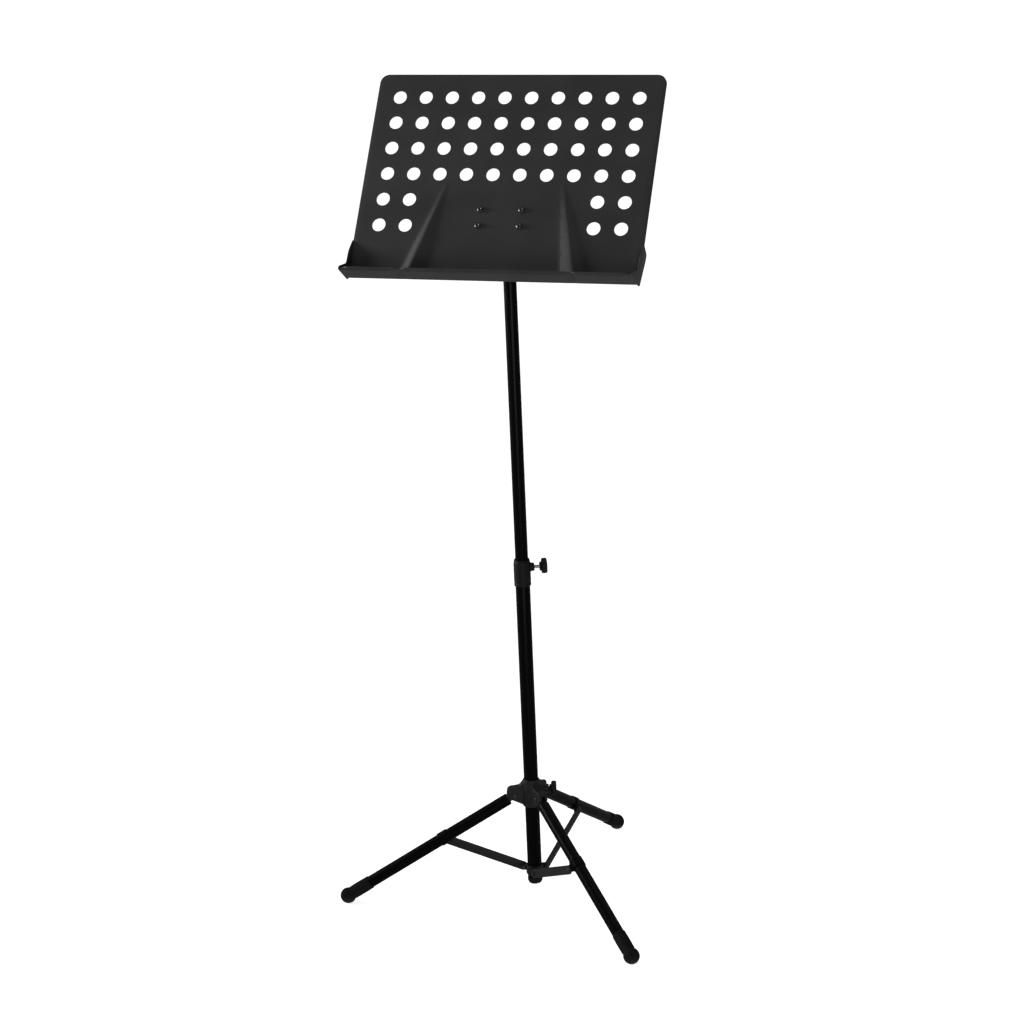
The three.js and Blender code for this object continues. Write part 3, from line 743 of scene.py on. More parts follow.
def piece(name: str, shell: Shell, place: Place, skin: Skin, *nodes: str) -> bpy.types.Object:
    """A finished piece straight from its shell."""
    return finished(shown(mesh_of(name, shell, place)), skin, *nodes)


def cast(
    name: str, shell: Shell, place: Place, skin: Skin, *nodes: str, voxel: float = 0.55
) -> bpy.types.Object:
    """A piece run together from overlapping closed shells, its joints filleted as in a casting.

    Args:
        name: The piece's name.
        shell: The shells, together.
        place: Where they go.
        skin: The finish.
        nodes: The CAD nodes that it stands for.
        voxel: Size in millimetres of the cells that the shells are run together in.

    Returns:
        The piece.
    """
    thing = shown(mesh_of(name, shell, place))
    modifier(thing, "REMESH", mode="VOXEL", voxel_size=voxel * MM, adaptivity=0.0)
    modifier(thing, "SMOOTH", factor=0.5, iterations=5)
    return finished(settled(thing), skin, *nodes)


# ------------------------------------------------------------------ knobs and locks


@dataclass(frozen=True)
class StarKnob:
    """A lobed grip on a neck, along Z.

    Attributes:
        radius: Over the lobes.
        lobes: How many.
        low: Where the neck starts.
        high: The grip's outer face.
        neck: Length of the neck.
        dip: How deep it is between lobes, as a share of the radius.
        bore: Radius of its hole, at the neck.
    """

    radius: float
    lobes: int
    low: float
    high: float
    neck: float = 3.0
    dip: float = 0.13
    bore: float = 3.3

    def shell(self) -> Shell:
        """Each row's radius is its share of R, less dip (1 - cos lobes a) / 2 times its weight."""
        grip, top = self.low + self.neck, self.high
        rows = np.array([
            # share of the radius, weight of the lobes, height
            [self.bore / self.radius, 0.0, self.low + 6], [self.bore / self.radius, 0.0, self.low],
            [0.50, 0.0, self.low], [0.54, 0.0, self.low + 0.6], [0.55, 0.0, grip - 0.8],
            [0.60, 0.2, grip - 0.1], [0.80, 0.8, grip + 0.3], [0.94, 1.0, grip + 0.8],
            [0.99, 1.0, grip + 1.8], [1.00, 1.0, (grip + top) / 2], [0.985, 1.0, top - 1.6],
            [0.94, 1.0, top - 0.6], [0.86, 0.9, top - 0.05], [0.76, 0.6, top],
            [0.62, 0.1, top - 0.2], [0.56, 0.0, top - 0.9], [0.50, 0.0, top - 1.0],
            [0.46, 0.0, top - 0.4], [0.40, 0.0, top - 0.1], [0.0, 0.0, top],
        ])
        angle = np.linspace(0, 2 * np.pi, self.lobes * 16, endpoint=False)
        lobe = self.dip * (1 - np.cos(self.lobes * angle)) / 2
        radius = self.radius * rows[:, :1] * (1 - rows[:, 1:2] * lobe)
        points = around_z(radius, rows[:, 2:] + 0 * angle, angle)
        inside = np.zeros((1, len(angle), 3)) + [0, 0, self.low + 6]
        return woven(np.concatenate([inside, points]))


@dataclass(frozen=True)
class Lock:
    """A screw that presses a pad on a tube: pad, screw and knob on one axis.

    Attributes:
        name: The stem of its nodes' names.
        pad: Where its pad starts and ends, from the pole's axis.
        screw: Where its screw starts and ends.
        knob: Its knob.
    """

    name: str
    pad: tuple[float, float]
    screw: tuple[float, float]
    knob: StarKnob
    pad_radius: float = 3.4
    screw_radius: float = 3.0
    pitch: float = 1.25

    def build(self) -> None:
        """Makes the pad, the threaded screw and the knob."""
        place = lock_place(f"{self.name}_turn")
        stem = self.name.title().replace("_", "")
        parts = (
            ("pad", rod(self.pad_radius, *self.pad, 0.3), Skin.NYLON),
            ("screw", threaded(self.screw_radius, self.pitch, *self.screw), Skin.ZINC),
            ("knob", self.knob.shell(), Skin.GRIP),
        )
        for part, shell, skin in parts:
            piece(f"{stem}_{part}", shell.along(Axis.X), place, skin, f"{self.name}_{part}")


# ------------------------------------------------------------------ pole


@dataclass(frozen=True)
class Pole:
    """The fixed outer tube with its cap, strut hub and clamp collar, and the tube inside it."""

    outer: float = 12.5
    outer_bore: float = 11.5
    outer_span: tuple[float, float] = (38.0, 598.0)
    inner: float = 11.0
    inner_bore: float = 10.0
    inner_span: tuple[float, float] = (480.0, 1170.7)
    gap: float = 0.3
    collar: float = 14.5
    collar_span: tuple[float, float] = (575.0, 620.0)
    clamp_height: float = 607.0
    strut_height: float = 52.0
    strut_pivot: float = 20.0

    def build(self) -> None:
        """Makes every piece of the pole."""
        place = pole_place()
        self.build_tubes(place)
        self.build_collar(place)
        self.build_strut_hub(place)
        Lock(
            "clamp", (11.3, 12.9), (13.2, 39.5), StarKnob(14.0, 5, 30.0, 42.6)
        ).build()

    def build_tubes(self, place: Place) -> None:
        """The two tubes, the cap under the outer one and the bush on the inner one."""
        low, high = self.outer_span
        outer = tube(self.outer_bore, self.outer, low, high)
        piece("OuterTube", outer, place, Skin.TUBE, "outer_tube")
        bottom, top = self.inner_span
        inner = tube(self.inner_bore, self.inner, bottom, top)
        piece("InnerTube", inner, place, Skin.TUBE, "inner_tube")
        plug = self.outer_bore - self.gap
        rim = low - self.gap
        cap = turned([
            [0, 58], [plug, 58], [plug, rim], [self.outer + 0.5, rim], [self.outer + 0.5, 35.8],
            [self.outer + 0.2, 35.4], [self.outer + 0.5, 35.0], [self.outer + 0.4, 31.2],
            [10.8, 27.0], [6.2, 25.2], [0, 25.0],
        ], 64, 0.8)
        piece("PoleCap", cap, place, Skin.SHELL, "pole_end_cap")
        seat = bottom - self.gap
        spigot = self.inner_bore - self.gap
        bush = turned([
            [0, seat - 14], [plug - 1, seat - 14], [plug, seat - 13], [plug, seat - 9],
            [plug - 0.6, seat - 8.4], [plug - 0.6, seat - 5.6], [plug, seat - 5], [plug, seat],
            [spigot, seat], [spigot, seat + 26], [0, seat + 26],
        ], 48, 0.3)
        piece("GuideBush", bush, place, Skin.NYLON, "guide_bush")

    def build_collar(self, place: Place) -> None:
        """The clamp collar with its boss and pinch ribs, and the liner that lines its mouth."""
        low, high = self.collar_span
        bore, radius = self.outer + self.gap, self.collar
        sleeve = turned([
            [bore, low], [radius - 0.7, low], [radius, low + 1.2], [radius, low + 5.0],
            [radius - 0.5, low + 5.5], [radius - 0.5, low + 7.5], [radius, low + 8.0],
            [radius, high - 12], [radius - 0.1, high - 4.5], [bore + 0.7, high], [bore, high],
        ], 72, 0.5)
        boss = turned([[0, bore + 0.3], [8.2, bore + 0.3], [7.4, 15.5], [7.0, 20.2], [6.4, 21.0],
                       [0, 21.0]], 40, 1.0)
        turn = lock_place("clamp_turn").axes[0]
        degrees = math.degrees(math.atan2(turn[1], turn[0]))
        boss = boss.along(Axis.X).spun(degrees).moved(z=self.clamp_height)
        cast("ClampCollar", sleeve + boss, place, Skin.SHELL, "clamp_collar", voxel=0.5)
        lip, seat = self.inner + self.gap, high + self.gap
        liner = turned([
            [lip, 598.3], [self.outer, 598.3], [self.outer, seat], [self.outer + 0.9, seat],
            [self.outer + 0.6, seat + 1.6], [lip, seat + 1.6],
        ], 64, 0.3)
        piece("CollarLiner", liner, place, Skin.SHELL, "collar_liner")

    def build_strut_hub(self, place: Place) -> None:
        """The ring at the pole's foot, with a lug and a pin for each strut."""
        bore, middle = self.outer + self.gap, self.strut_height
        ring = turned([
            [bore, middle - 9], [bore + 1.6, middle - 9], [bore + 2.2, middle - 7.6],
            [bore + 2.2, middle + 7.6], [bore + 1.6, middle + 9], [bore, middle + 9],
        ], 72, 0.5)
        end = arc((self.strut_pivot, middle), 5.0, -60, 60, 10)
        outline = np.concatenate([[[bore + 0.5, middle - 6]], end, [[bore + 0.5, middle + 6]]])
        lug = slab(corners_cut(outline, 1.0, closed=True), 6.1, 12.1, 0.7)
        upright = replace(lug, points=lug.points[:, [0, 2, 1]] * [1, -1, 1])
        whole = ring
        for letter in LETTERS:
            whole = whole + upright.spun(azimuth(letter))
            low, high = 5.8, 15.2
            pin = turned([
                [0, low - 1.4], [3.0, low - 1.4], [4.0, low - 0.6], [4.0, low], [2.5, low],
                [2.5, high], [4.0, high], [4.0, high + 0.7], [2.9, high + 1.4], [0, high + 1.4],
            ], 32, 0.4).along(Axis.Y).spun(180)
            pin = pin.moved(self.strut_pivot, 0, middle).spun(azimuth(letter))
            piece(f"StrutPin_{letter}", pin, place, Skin.OXIDE, f"strut_pin_{letter}")
        cast("StrutHub", whole, place, Skin.CAST, "strut_hub", voxel=0.5)


# ------------------------------------------------------------------ tripod


@dataclass(frozen=True)
class TripodHub:
    """The casting that slides on the pole, with a forked lug for each leg and a lock."""

    bore: float = 12.8
    height: float = 192.0
    pivot: float = 29.0
    lug_radius: float = 9.0
    slot: float = 3.3
    cheek: float = 8.0
    lock_height: float = 202.0

    def fork(self) -> Shell:
        """Two cheeks of a lug, and the web behind and over their slot, for a leg along X."""
        x, z = self.pivot, self.height
        end = arc((x, z), self.lug_radius, -75, -20, 8)
        root = self.bore + 0.8
        outline = np.concatenate([[[root, z - 17.0]], end, [
            [x + 15, z], [x + 14, z + 11], [x + 9, z + 15], [x - 7, z + 16.5], [root + 1.6, z + 25],
            [root, z + 26.0],
        ]])
        outline = corners_cut(outline, 2.5, closed=True)
        cheeks = slab(outline, self.slot, self.cheek, 0.9) + slab(outline, -self.cheek, -self.slot, 0.9)
        web = corners_cut([
            [root, z - 15.5], [x - 7.5, z - 12], [x - 7.5, z + 8.5], [x + 13.4, z + 8.5],
            [x + 13.0, z + 10.6], [x + 8.6, z + 14.2], [x - 7.3, z + 15.6], [root, z + 24],
        ], 1.5, closed=True)
        both = cheeks + slab(web, -self.cheek + 0.6, self.cheek - 0.6, 0.5)
        return replace(both, points=both.points[:, [0, 2, 1]] * [1, -1, 1])

    def build(self) -> None:
        """Makes the casting, its pins and its lock."""
        place = pole_place()
        z, bore = self.height, self.bore
        sleeve = turned([
            [bore, z - 20], [15.2, z - 20], [16.4, z - 18], [16.4, z + 14], [16.0, z + 20],
            [14.4, z + 28], [13.8, z + 30], [bore, z + 30],
        ], 72, 1.2)
        boss = turned([[0, bore + 0.6], [9.4, bore + 0.6], [8.2, 18.5], [8.0, 29.7], [7.2, 30.5],
                       [0, 30.5]], 40, 1.2)
        turn = lock_place("hub_lock_turn").axes[0]
        degrees = math.degrees(math.atan2(turn[1], turn[0]))
        whole = sleeve + boss.along(Axis.X).spun(degrees).moved(z=self.lock_height)
        for letter in LETTERS:
            whole = whole + self.fork().spun(azimuth(letter))
            self.build_pin(letter, place)
        cast("LegHub", whole, place, Skin.CAST, "leg_hub", voxel=0.6)
        Lock(
            "hub_lock", (12.8, 14.6), (14.9, 41.0), StarKnob(13.0, 5, 31.4, 43.8)
        ).build()

    def build_pin(self, letter: str, place: Place) -> None:
        """A leg's hinge pin, with a domed head at each end of the fork."""
        reach = self.cheek + 0.3
        pin = turned([
            [0, -reach - 1.5], [3.4, -reach - 1.5], [4.6, -reach - 0.6], [4.6, -reach],
            [3.0, -reach], [3.0, reach], [4.6, reach], [4.6, reach + 0.6], [3.4, reach + 1.5],
            [1.4, reach + 1.5], [1.1, reach + 0.9], [0, reach + 0.9],
        ], 36, 0.4).along(Axis.Y).moved(self.pivot, 0, self.height).spun(azimuth(letter))
        piece(f"HubPin_{letter}", pin, place, Skin.OXIDE, f"hub_pin_{letter}")


@dataclass(frozen=True)
class Leg:
    """One leg, along X from its hinge: eye, tube, strut clip and rubber foot."""

    letter: str
    radius: float = 10.5
    bore: float = 9.3
    start: float = 14.0
    end: float = 338.0
    clip_at: float = 148.0
    clip_drop: float = 12.0
    ball_at: float = 351.0
    ball: float = 14.0

    def build(self) -> None:
        """Makes the leg's four pieces."""
        letter = self.letter
        place = joint_place(f"leg_{letter}_fold", f"leg_tube_{letter}")
        body = tube(self.bore, self.radius, self.start, self.end, 0.8).along(Axis.X)
        piece(f"LegTube_{letter}", body, place, Skin.TUBE, f"leg_tube_{letter}")
        cast(f"LegEye_{letter}", self.eye(), place, Skin.CAST, f"leg_eye_{letter}", voxel=0.4)
        cast(f"StrutClip_{letter}", self.clip(), place, Skin.TUBE, f"strut_clip_{letter}", voxel=0.4)
        self.build_foot(place)

    def eye(self) -> Shell:
        """A flat disc on the hinge, a neck, and a stem that plugs into the tube."""
        disc = turned([[3.3, -3], [7, -3], [7, 3], [3.3, 3]], 48, 0.5).along(Axis.Y)
        outline = corners_cut([[3.4, -5.2], [18, -5.5], [18, 5.5], [3.4, 5.2]], 1.0, closed=True)
        neck = slab(outline, -3, 3, 0.6)
        neck = replace(neck, points=neck.points[:, [0, 2, 1]] * [1, -1, 1])
        stem = rod(self.bore - 0.3, self.start + 1, self.start + 24, 0.5).along(Axis.X)
        return disc + neck + stem

    def clip(self) -> Shell:
        """A band round the tube and the lug under it that takes the strut."""
        band = turned([
            [10.8, -9], [11.7, -9], [12, -8.4], [12, 8.4], [11.7, 9], [10.8, 9],
        ], 64, 0.3)
        end = arc((0, -self.clip_drop), 5.0, 200, 340, 12)
        outline = np.concatenate([[[-7, -5.9]], end, [[7, -5.9]]])
        lug = slab(corners_cut(outline, 0.8, closed=True), 6.1, 12.1, 0.7)
        lug = replace(lug, points=lug.points[:, [0, 2, 1]] * [1, -1, 1])
        inside = np.hypot(lug.points[:, 1], lug.points[:, 2]) < 11.0
        reach = 11.4 / np.maximum(np.hypot(lug.points[:, 1], lug.points[:, 2]), 1e-6)
        lug.points[:, 1:] *= np.where(inside, reach, 1.0)[:, None]
        return (band.along(Axis.X) + lug).moved(self.clip_at)

    def build_foot(self, place: Place) -> None:
        """The rubber foot: a ribbed sleeve that swells into a ball, cut level at the floor."""
        ball = arc((0, self.ball_at), self.ball, -35, 82, 25)
        skin = np.array([
            [10.8, 304.0], [11.35, 304.0], [11.8, 305.2], [11.8, 307.2], [11.45, 307.8],
            [11.45, 308.8], [11.85, 309.4], [11.85, 311.4], [11.5, 312.0], [11.5, 313.0],
            [11.9, 313.6], [11.95, 322.0], [11.9, 332.0], [11.6, 340.0],
        ])
        inner = np.array([[0, self.ball_at + self.ball], [0, 339.0], [10.8, 339.0]])
        profile = np.concatenate([skin, ball, inner])
        angle = np.linspace(0, 2 * np.pi, 56, endpoint=False)
        line = corners_cut(profile, 0.25, 2, closed=True)
        points = around_z(line[:, :1] + 0 * angle, line[:, 1:] + 0 * angle, angle)
        shell = woven(points, closed=True).along(Axis.X)
        mesh = mesh_of(f"RubberFoot_{self.letter}", shell, place)
        spots = np.empty(len(mesh.vertices) * 3, np.float32)
        mesh.vertices.foreach_get("co", spots)
        spots[2::3] = np.maximum(spots[2::3], 0.0)
        mesh.vertices.foreach_set("co", spots)
        finished(shown(mesh), Skin.FOOT, f"rubber_foot_{self.letter}")


@dataclass(frozen=True)
class Strut:
    """A flat bar from the strut hub to a leg's clip, along X from its inner pin."""

    letter: str
    length: float = 141.157
    half: float = 8.0
    side: float = 12.4
    thickness: float = 2.5

    def build(self) -> None:
        """Makes the bar with round ends, and the rivet at its outer end."""
        letter = self.letter
        place = joint_place(f"strut_{letter}_fold", f"strut_{letter}")
        near = arc((0, 0), self.half, 90, 270, 12)
        far = arc((self.length, 0), self.half, -90, 90, 12)
        bar = slab(np.concatenate([near, far]), self.side, self.side + self.thickness, 0.5)
        bar = replace(bar, points=bar.points[:, [0, 2, 1]] * [1, -1, 1])
        piece(f"Strut_{letter}", bar, place, Skin.CAST, f"strut_{letter}")
        seat = self.side + self.thickness + 0.3
        rivet = turned([
            [0, self.side + 0.1], [2.4, self.side + 0.1], [2.4, seat], [4.2, seat],
            [4.0, seat + 0.8], [2.6, seat + 1.55], [0, seat + 1.6],
        ], 32, 0.4).along(Axis.Y).spun(180).moved(self.length)
        piece(f"StrutRivet_{letter}", rivet, place, Skin.OXIDE, f"strut_rivet_{letter}")


# ------------------------------------------------------------------ tilt joint


@dataclass(frozen=True)
class TiltJoint:
    """The head in the top of the inner tube, its washers, bolt and knob."""

    half: float = 16.0
    barrel: float = 12.0
    bolt: float = 4.0
    plug: float = 9.7
    shoulder: float = 11.6

    def build(self) -> None:
        """Makes the head, washers, bolt, spring washer and knob."""
        origin = np.array(joint("desk_tilt")["pos_m"])
        level = Place(origin, np.eye(3))
        bore = self.bolt + 0.3
        barrel = turned([
            [bore, -self.half], [self.barrel, -self.half], [self.barrel, self.half],
            [bore, self.half],
        ], 64, 0.8).along(Axis.X)
        stem = turned([
            [0, -62], [self.plug - 0.8, -62], [self.plug, -60.5], [self.plug, -20],
            [self.shoulder, -20], [self.shoulder, -14.6], [9.6, -8], [0, -6.5],
        ], 56, 0.6)
        cast("TiltHead", barrel + stem, level, Skin.CAST, "tilt_head", voxel=0.5)
        for side, name in ((-1, "left"), (1, "right")):
            low, high = sorted((side * (self.half + 0.3), side * (self.half + 1.2)))
            washer = tube(bore, self.barrel, low, high, 0.2).along(Axis.X)
            piece(f"FrictionWasher_{name}", washer, level, Skin.NYLON, f"friction_washer_{name}")
        self.build_fasteners(desk_place())

    def build_fasteners(self, place: Place) -> None:
        """The hexagon-headed bolt along X, the sprung washer and the knob on its far end."""
        head = hexagonal(6.5, [
            [0.0, -26.1], [6.3, -26.1], [7.05, -25.6], [8, -24.9], [8, -21.9], [7.2, -21.5],
            [6.6, -21.4], [6.6, -20.8], [0.0, -20.8],
        ])
        shank = rod(self.bolt, -21.5, 24.0, 0.2) + threaded(self.bolt - 0.05, 1.25, 23.0, 35.0)
        bolt = (head + shank).along(Axis.X)
        piece("PivotBolt", bolt, place, Skin.ZINC, "pivot_bolt")
        angle = np.radians(np.linspace(7, 353, 60))[:, None]
        section = corners_cut([[4.4, 0], [8.4, 0], [8.4, 0.9], [4.4, 0.9]], 0.25, 3, closed=True)
        rise = 0.6 * angle / (2 * np.pi)
        coil = around_z(section[None, :, 0] + 0 * angle, section[None, :, 1] + 20.82 + rise, angle)
        piece("SpringWasher", capped(coil).along(Axis.X), place, Skin.ZINC, "spring_washer")
        knob = StarKnob(15.0, 6, 22.7, 38.8, bore=4.3).shell().along(Axis.X)
        piece("TiltKnob", knob, place, Skin.GRIP, "tilt_knob")


# ------------------------------------------------------------------ desk


@dataclass(frozen=True)
class Desk:
    """The perforated desk with its shelf, bracket and bolts."""

    pitch: float = 46.4
    hole: float = 11.6
    columns: int = 10
    full_rows: int = 4
    side_rows: int = 2
    side_columns: int = 2
    first_row: float = 216.224
    half: float = 250.0
    top: float = 259.376
    bend: float = -111.592
    corner: float = 16.0
    front: float = 46.2
    sheet: float = 1.2
    flange: float = 40.0
    cheek_back: float = 26.0
    edge_roll: float = 2.2
    bend_roll: float = 3.6
    shelf: float = 84.2
    lip: float = 2.8
    lip_lean: float = 1.0
    fold: float = 1.6
    hem: float = 1.6
    ridge_height: float = 8.0
    ridge_fade: float = 14.0
    ridge_in: float = 26.0
    ridge_out: float = 16.0
    bump: float = 5.0
    bump_reach: float = 10.0
    dimple: float = 2.4
    bolt_x: float = 35.7
    bolt_y: float = 14.4

    def build(self) -> None:
        """Makes the sheet with its end cheeks and hem, the bracket and the bolts."""
        place = desk_place()
        self.build_panel(place)
        self.build_bracket(place)
        self.build_bolts(place)

    def hole_middles(self) -> np.ndarray:
        """Middles of the round holes: full rows, then rows of the outer columns only."""
        row, column = np.mgrid[0:self.full_rows + self.side_rows, 0:self.columns]
        from_side = np.minimum(column, self.columns - 1 - column)
        kept = (row < self.full_rows) | (from_side < self.side_columns)
        x = (column - (self.columns - 1) / 2) * self.pitch
        return np.stack([x[kept], (self.first_row - row * self.pitch)[kept]], axis=1)

    def crest(self, y: np.ndarray) -> np.ndarray:
        """How far out a ridge's crest is at a height on the sheet."""
        return self.pitch * (2.15 + 0.99 * self.ridge_share(y))

    def ridge_share(self, y: np.ndarray) -> np.ndarray:
        """How far down its length a ridge is at y, from 0 at its tip to 1 at the bend."""
        tip = self.first_row - 3.3 * self.pitch
        return np.clip((tip - y) / (tip - self.bend), 0, 1)

    def ridge(self, x: np.ndarray, y: np.ndarray) -> np.ndarray:
        """Height of the two ridges over the flat sheet.

        A ridge rises evenly from its tip to its peak just over the bend, and falls back to
        nothing at the bend. Across it, two flat flanks meet in a rounded crest.

        Args:
            x: Distances along the desk.
            y: Distances up its face.

        Returns:
            The heights, of the same shape.
        """
        share = self.ridge_share(y)
        off = np.abs(x) - self.crest(y)
        width = np.where(off < 0, 4 + (self.ridge_in - 4) * share, 4 + (self.ridge_out - 4) * share)
        across = np.abs(off) / width
        tent = 1.05 * np.clip(1 - np.sqrt(across**2 + 0.02) + 0.1, 0, 1)
        low = self.bend + self.bend_roll
        fade = np.clip((y - low) / (self.ridge_fade - self.bend_roll), 0, 1)
        return self.ridge_height * share * tent * fade * (2 - fade)

    def run_out(self, x: np.ndarray) -> np.ndarray:
        """Where each ridge runs out along the shelf: (1 + cos) / 2 across, 1 at its crest."""
        off = np.clip(np.abs(np.abs(x) - 3.14 * self.pitch) / self.bump_reach, 0, 1)
        return (1 + np.cos(np.pi * off)) / 2

    def stations(self) -> np.ndarray:
        """Places along X where the sheet's lower edge and the shelf meet, closer at the ridges."""
        side = self.half - self.edge_roll
        even = np.linspace(-side, side, 83)
        near = 3.14 * self.pitch + np.linspace(-24, 24, 25)
        return np.unique(np.round(np.concatenate([even, near, -near]), 4))

    def edge_line(self) -> tuple[np.ndarray, np.ndarray]:
        """The sides and top of the sheet from its lower left corner, and their outward normals."""
        up = np.linspace(self.bend + self.bend_roll, self.top - self.corner, 30, endpoint=False)
        reach = self.half - self.corner
        over = np.linspace(-reach, reach, 40)[1:-1]
        quarter = np.radians(np.linspace(180, 90, 11))
        turn = np.stack([np.cos(quarter), np.sin(quarter)], axis=1)
        left = np.stack([np.full_like(up, -self.half), up], axis=1)
        bow = np.array([-reach, self.top - self.corner]) + self.corner * turn
        top = np.stack([over, np.full_like(over, self.top)], axis=1)
        mirror = np.array([-1.0, 1.0])
        points = np.concatenate([left, bow, top, bow[::-1] * mirror, left[::-1] * mirror])
        sides = np.tile([-1.0, 0.0], (len(left), 1))
        normals = np.concatenate([
            sides, turn, np.tile([0.0, 1.0], (len(top), 1)), turn[::-1] * mirror, -sides,
        ])
        return points, normals

    def face(self) -> Shell:
        """The flat of the sheet, triangulated round its holes and over its ridges."""
        line, normals = self.edge_line()
        rim = line - self.edge_roll * normals
        stations = self.stations()
        foot = np.stack([stations[::-1], np.full_like(stations, self.bend + self.bend_roll)], axis=1)
        border = np.concatenate([rim, foot[1:-1]])
        middles = self.hole_middles()
        steps = 44
        round_ = arc((0, 0), 1.0, 0, 360, steps)[:-1]
        rings = [
            (middles[:, None] + (self.hole + grow) * round_[None]).reshape(-1, 2)
            for grow in (0.0, 0.5, 1.6)
        ]
        points = np.concatenate([border, *rings, self.fillers(middles)])
        count = len(border)
        border_edges = np.stack([np.arange(count), np.roll(np.arange(count), -1)], axis=1)
        index = count + np.arange(len(middles) * steps).reshape(-1, steps)
        hole_edges = np.stack([index, np.roll(index, -1, axis=1)], axis=-1).reshape(-1, 2)
        edges = np.concatenate([border_edges, hole_edges]).tolist()
        flat, _, faces, *_ = delaunay_2d_cdt(
            [Vector(p) for p in points.tolist()], edges, [], 0, 1e-5, False
        )
        flat, faces = np.array([tuple(p) for p in flat]), np.array(faces)
        centre = flat[faces].mean(axis=1)
        away = np.linalg.norm(centre[:, None] - middles[None], axis=2).min(axis=1)
        faces = faces[away > self.hole * 0.985]
        height = self.front + self.ridge(flat[:, 0], flat[:, 1])
        return Shell(np.column_stack([flat, height]), faces.tolist())

    def fillers(self, middles: np.ndarray) -> np.ndarray:
        """Points over the sheet, close together on the ridges, and none near an edge or hole."""
        low, side = self.bend + self.bend_roll, self.half - self.edge_roll
        coarse = np.stack(np.mgrid[-side + 9:side - 8:16.5, low + 9:self.top - 9:16.5], -1)
        fine = np.stack(np.mgrid[86.0:178.0:4.5, low + 3:68.0:4.5], -1).reshape(-1, 2)
        down = np.linspace(low + 2.5, 60, 46)
        crest = self.crest(down)
        share = self.ridge_share(down)
        lines = [
            np.stack([crest + offset * (1 + share * scale), down], axis=1)
            for offset, scale in ((0, 0), (1.6, 0.6), (-1.6, 0.6), (4, 3.0), (-4, 5.5))
        ]
        fine = np.concatenate([fine[np.abs(fine[:, 0] - self.crest(fine[:, 1])) > 4.0], *lines])
        near = np.abs(coarse[..., 0]) - 132
        coarse = coarse[(np.abs(near) > 46) | (coarse[..., 1] > 68)]
        points = np.concatenate([coarse.reshape(-1, 2), fine, fine * [-1, 1]])
        away = np.linalg.norm(points[:, None] - middles[None], axis=2).min(axis=1)
        return points[away > self.hole + 3.2]

    def rim(self) -> Shell:
        """The rolled edge and flange: inset R (1 - sin a), back R (1 - cos a), then straight."""
        line, normals = self.edge_line()
        angle = np.radians(np.linspace(0, 90, 7))
        inset = self.edge_roll * (1 - np.sin(angle))
        back = self.front - self.edge_roll * (1 - np.cos(angle))
        straight = np.linspace(back[-1], self.flange, 4)[1:]
        insets = np.concatenate([inset, 0 * straight])
        heights = np.concatenate([back, straight])
        flat = line[None] - insets[:, None, None] * normals[None]
        height = np.broadcast_to(heights[:, None, None], (*flat.shape[:2], 1))
        return woven(np.concatenate([flat, height], axis=2), around=False)

    def shelf_section(self) -> np.ndarray:
        """The bend, the shelf and its lip as rows of y and z.

        The bend is a quarter turn of radius bend_roll, the fold at the front a shorter turn of
        radius fold, and the lip leans out by lip_lean over its height.

        Returns:
            The rows, from the sheet's foot to the lip's top.
        """
        quarter = np.radians(np.linspace(0, 90, 8))
        bend = np.stack([
            self.bend + self.bend_roll * (1 - np.sin(quarter)),
            self.front + self.bend_roll * (1 - np.cos(quarter)),
        ], axis=1)
        inner = self.shelf - self.sheet
        out = np.linspace(bend[-1, 1], inner - self.fold, 12)[1:]
        floor = np.stack([np.full_like(out, self.bend), out], axis=1)
        turn = np.radians(np.linspace(0, 68, 7))[1:]
        fold = np.stack([
            self.bend + self.fold * (1 - np.cos(turn)),
            inner - self.fold * (1 - np.sin(turn)),
        ], axis=1)
        share = np.linspace(0, 1, 6)[1:, None]
        top = np.array([self.bend + self.lip, inner + self.lip_lean])
        return np.concatenate([bend, floor, fold, fold[-1] + share * (top - fold[-1])])

    def shelf_sheet(self) -> Shell:
        """The shelf with its lip: a rise over the floor and a dimple in the lip at each ridge."""
        x = np.concatenate([[-self.half + 0.6], self.stations(), [self.half - 0.6]])
        y, z = self.shelf_section().T
        depth = np.clip((z - self.front) / (self.shelf - self.front), 0, 1)
        up = np.clip((y - self.bend) / self.lip, 0, 1)
        floor = self.bump * depth**1.2 * (1 - up)
        inward = self.dimple * depth**4
        points = np.empty((len(z), len(x), 3))
        points[..., 0] = x
        points[..., 1] = y[:, None] + floor[:, None] * self.run_out(x)
        points[..., 2] = z[:, None] - inward[:, None] * self.run_out(x)
        return woven(points, around=False)

    def build_panel(self, place: Place) -> None:
        """The whole pressed sheet, given its thickness and soft edges, with hem and cheeks."""
        mesh = mesh_of("DeskSheet", self.face() + self.rim() + self.shelf_sheet(), place)
        normals = np.empty(len(mesh.polygons) * 3, np.float32)
        mesh.polygons.foreach_get("normal", normals)
        if (normals.reshape(-1, 3) @ place.axes[2]).sum() < 0:
            mesh.flip_normals()
        thing = shown(mesh)
        modifier(thing, "SOLIDIFY", thickness=self.sheet * MM, offset=-1.0)
        modifier(
            thing, "BEVEL", width=0.22 * MM, segments=2, limit_method="ANGLE",
            angle_limit=math.radians(55),
        )
        settled(thing)
        self.store_rubbed(thing.data, place)
        finished(thing, Skin.DESK, "desk_panel")
        piece("DeskHem", self.hem_roll(), place, Skin.DESK, "desk_panel")
        for side, name in ((-1, "left"), (1, "right")):
            piece(f"DeskCheek_{name}", self.cheek(side), place, Skin.DESK, "desk_panel")

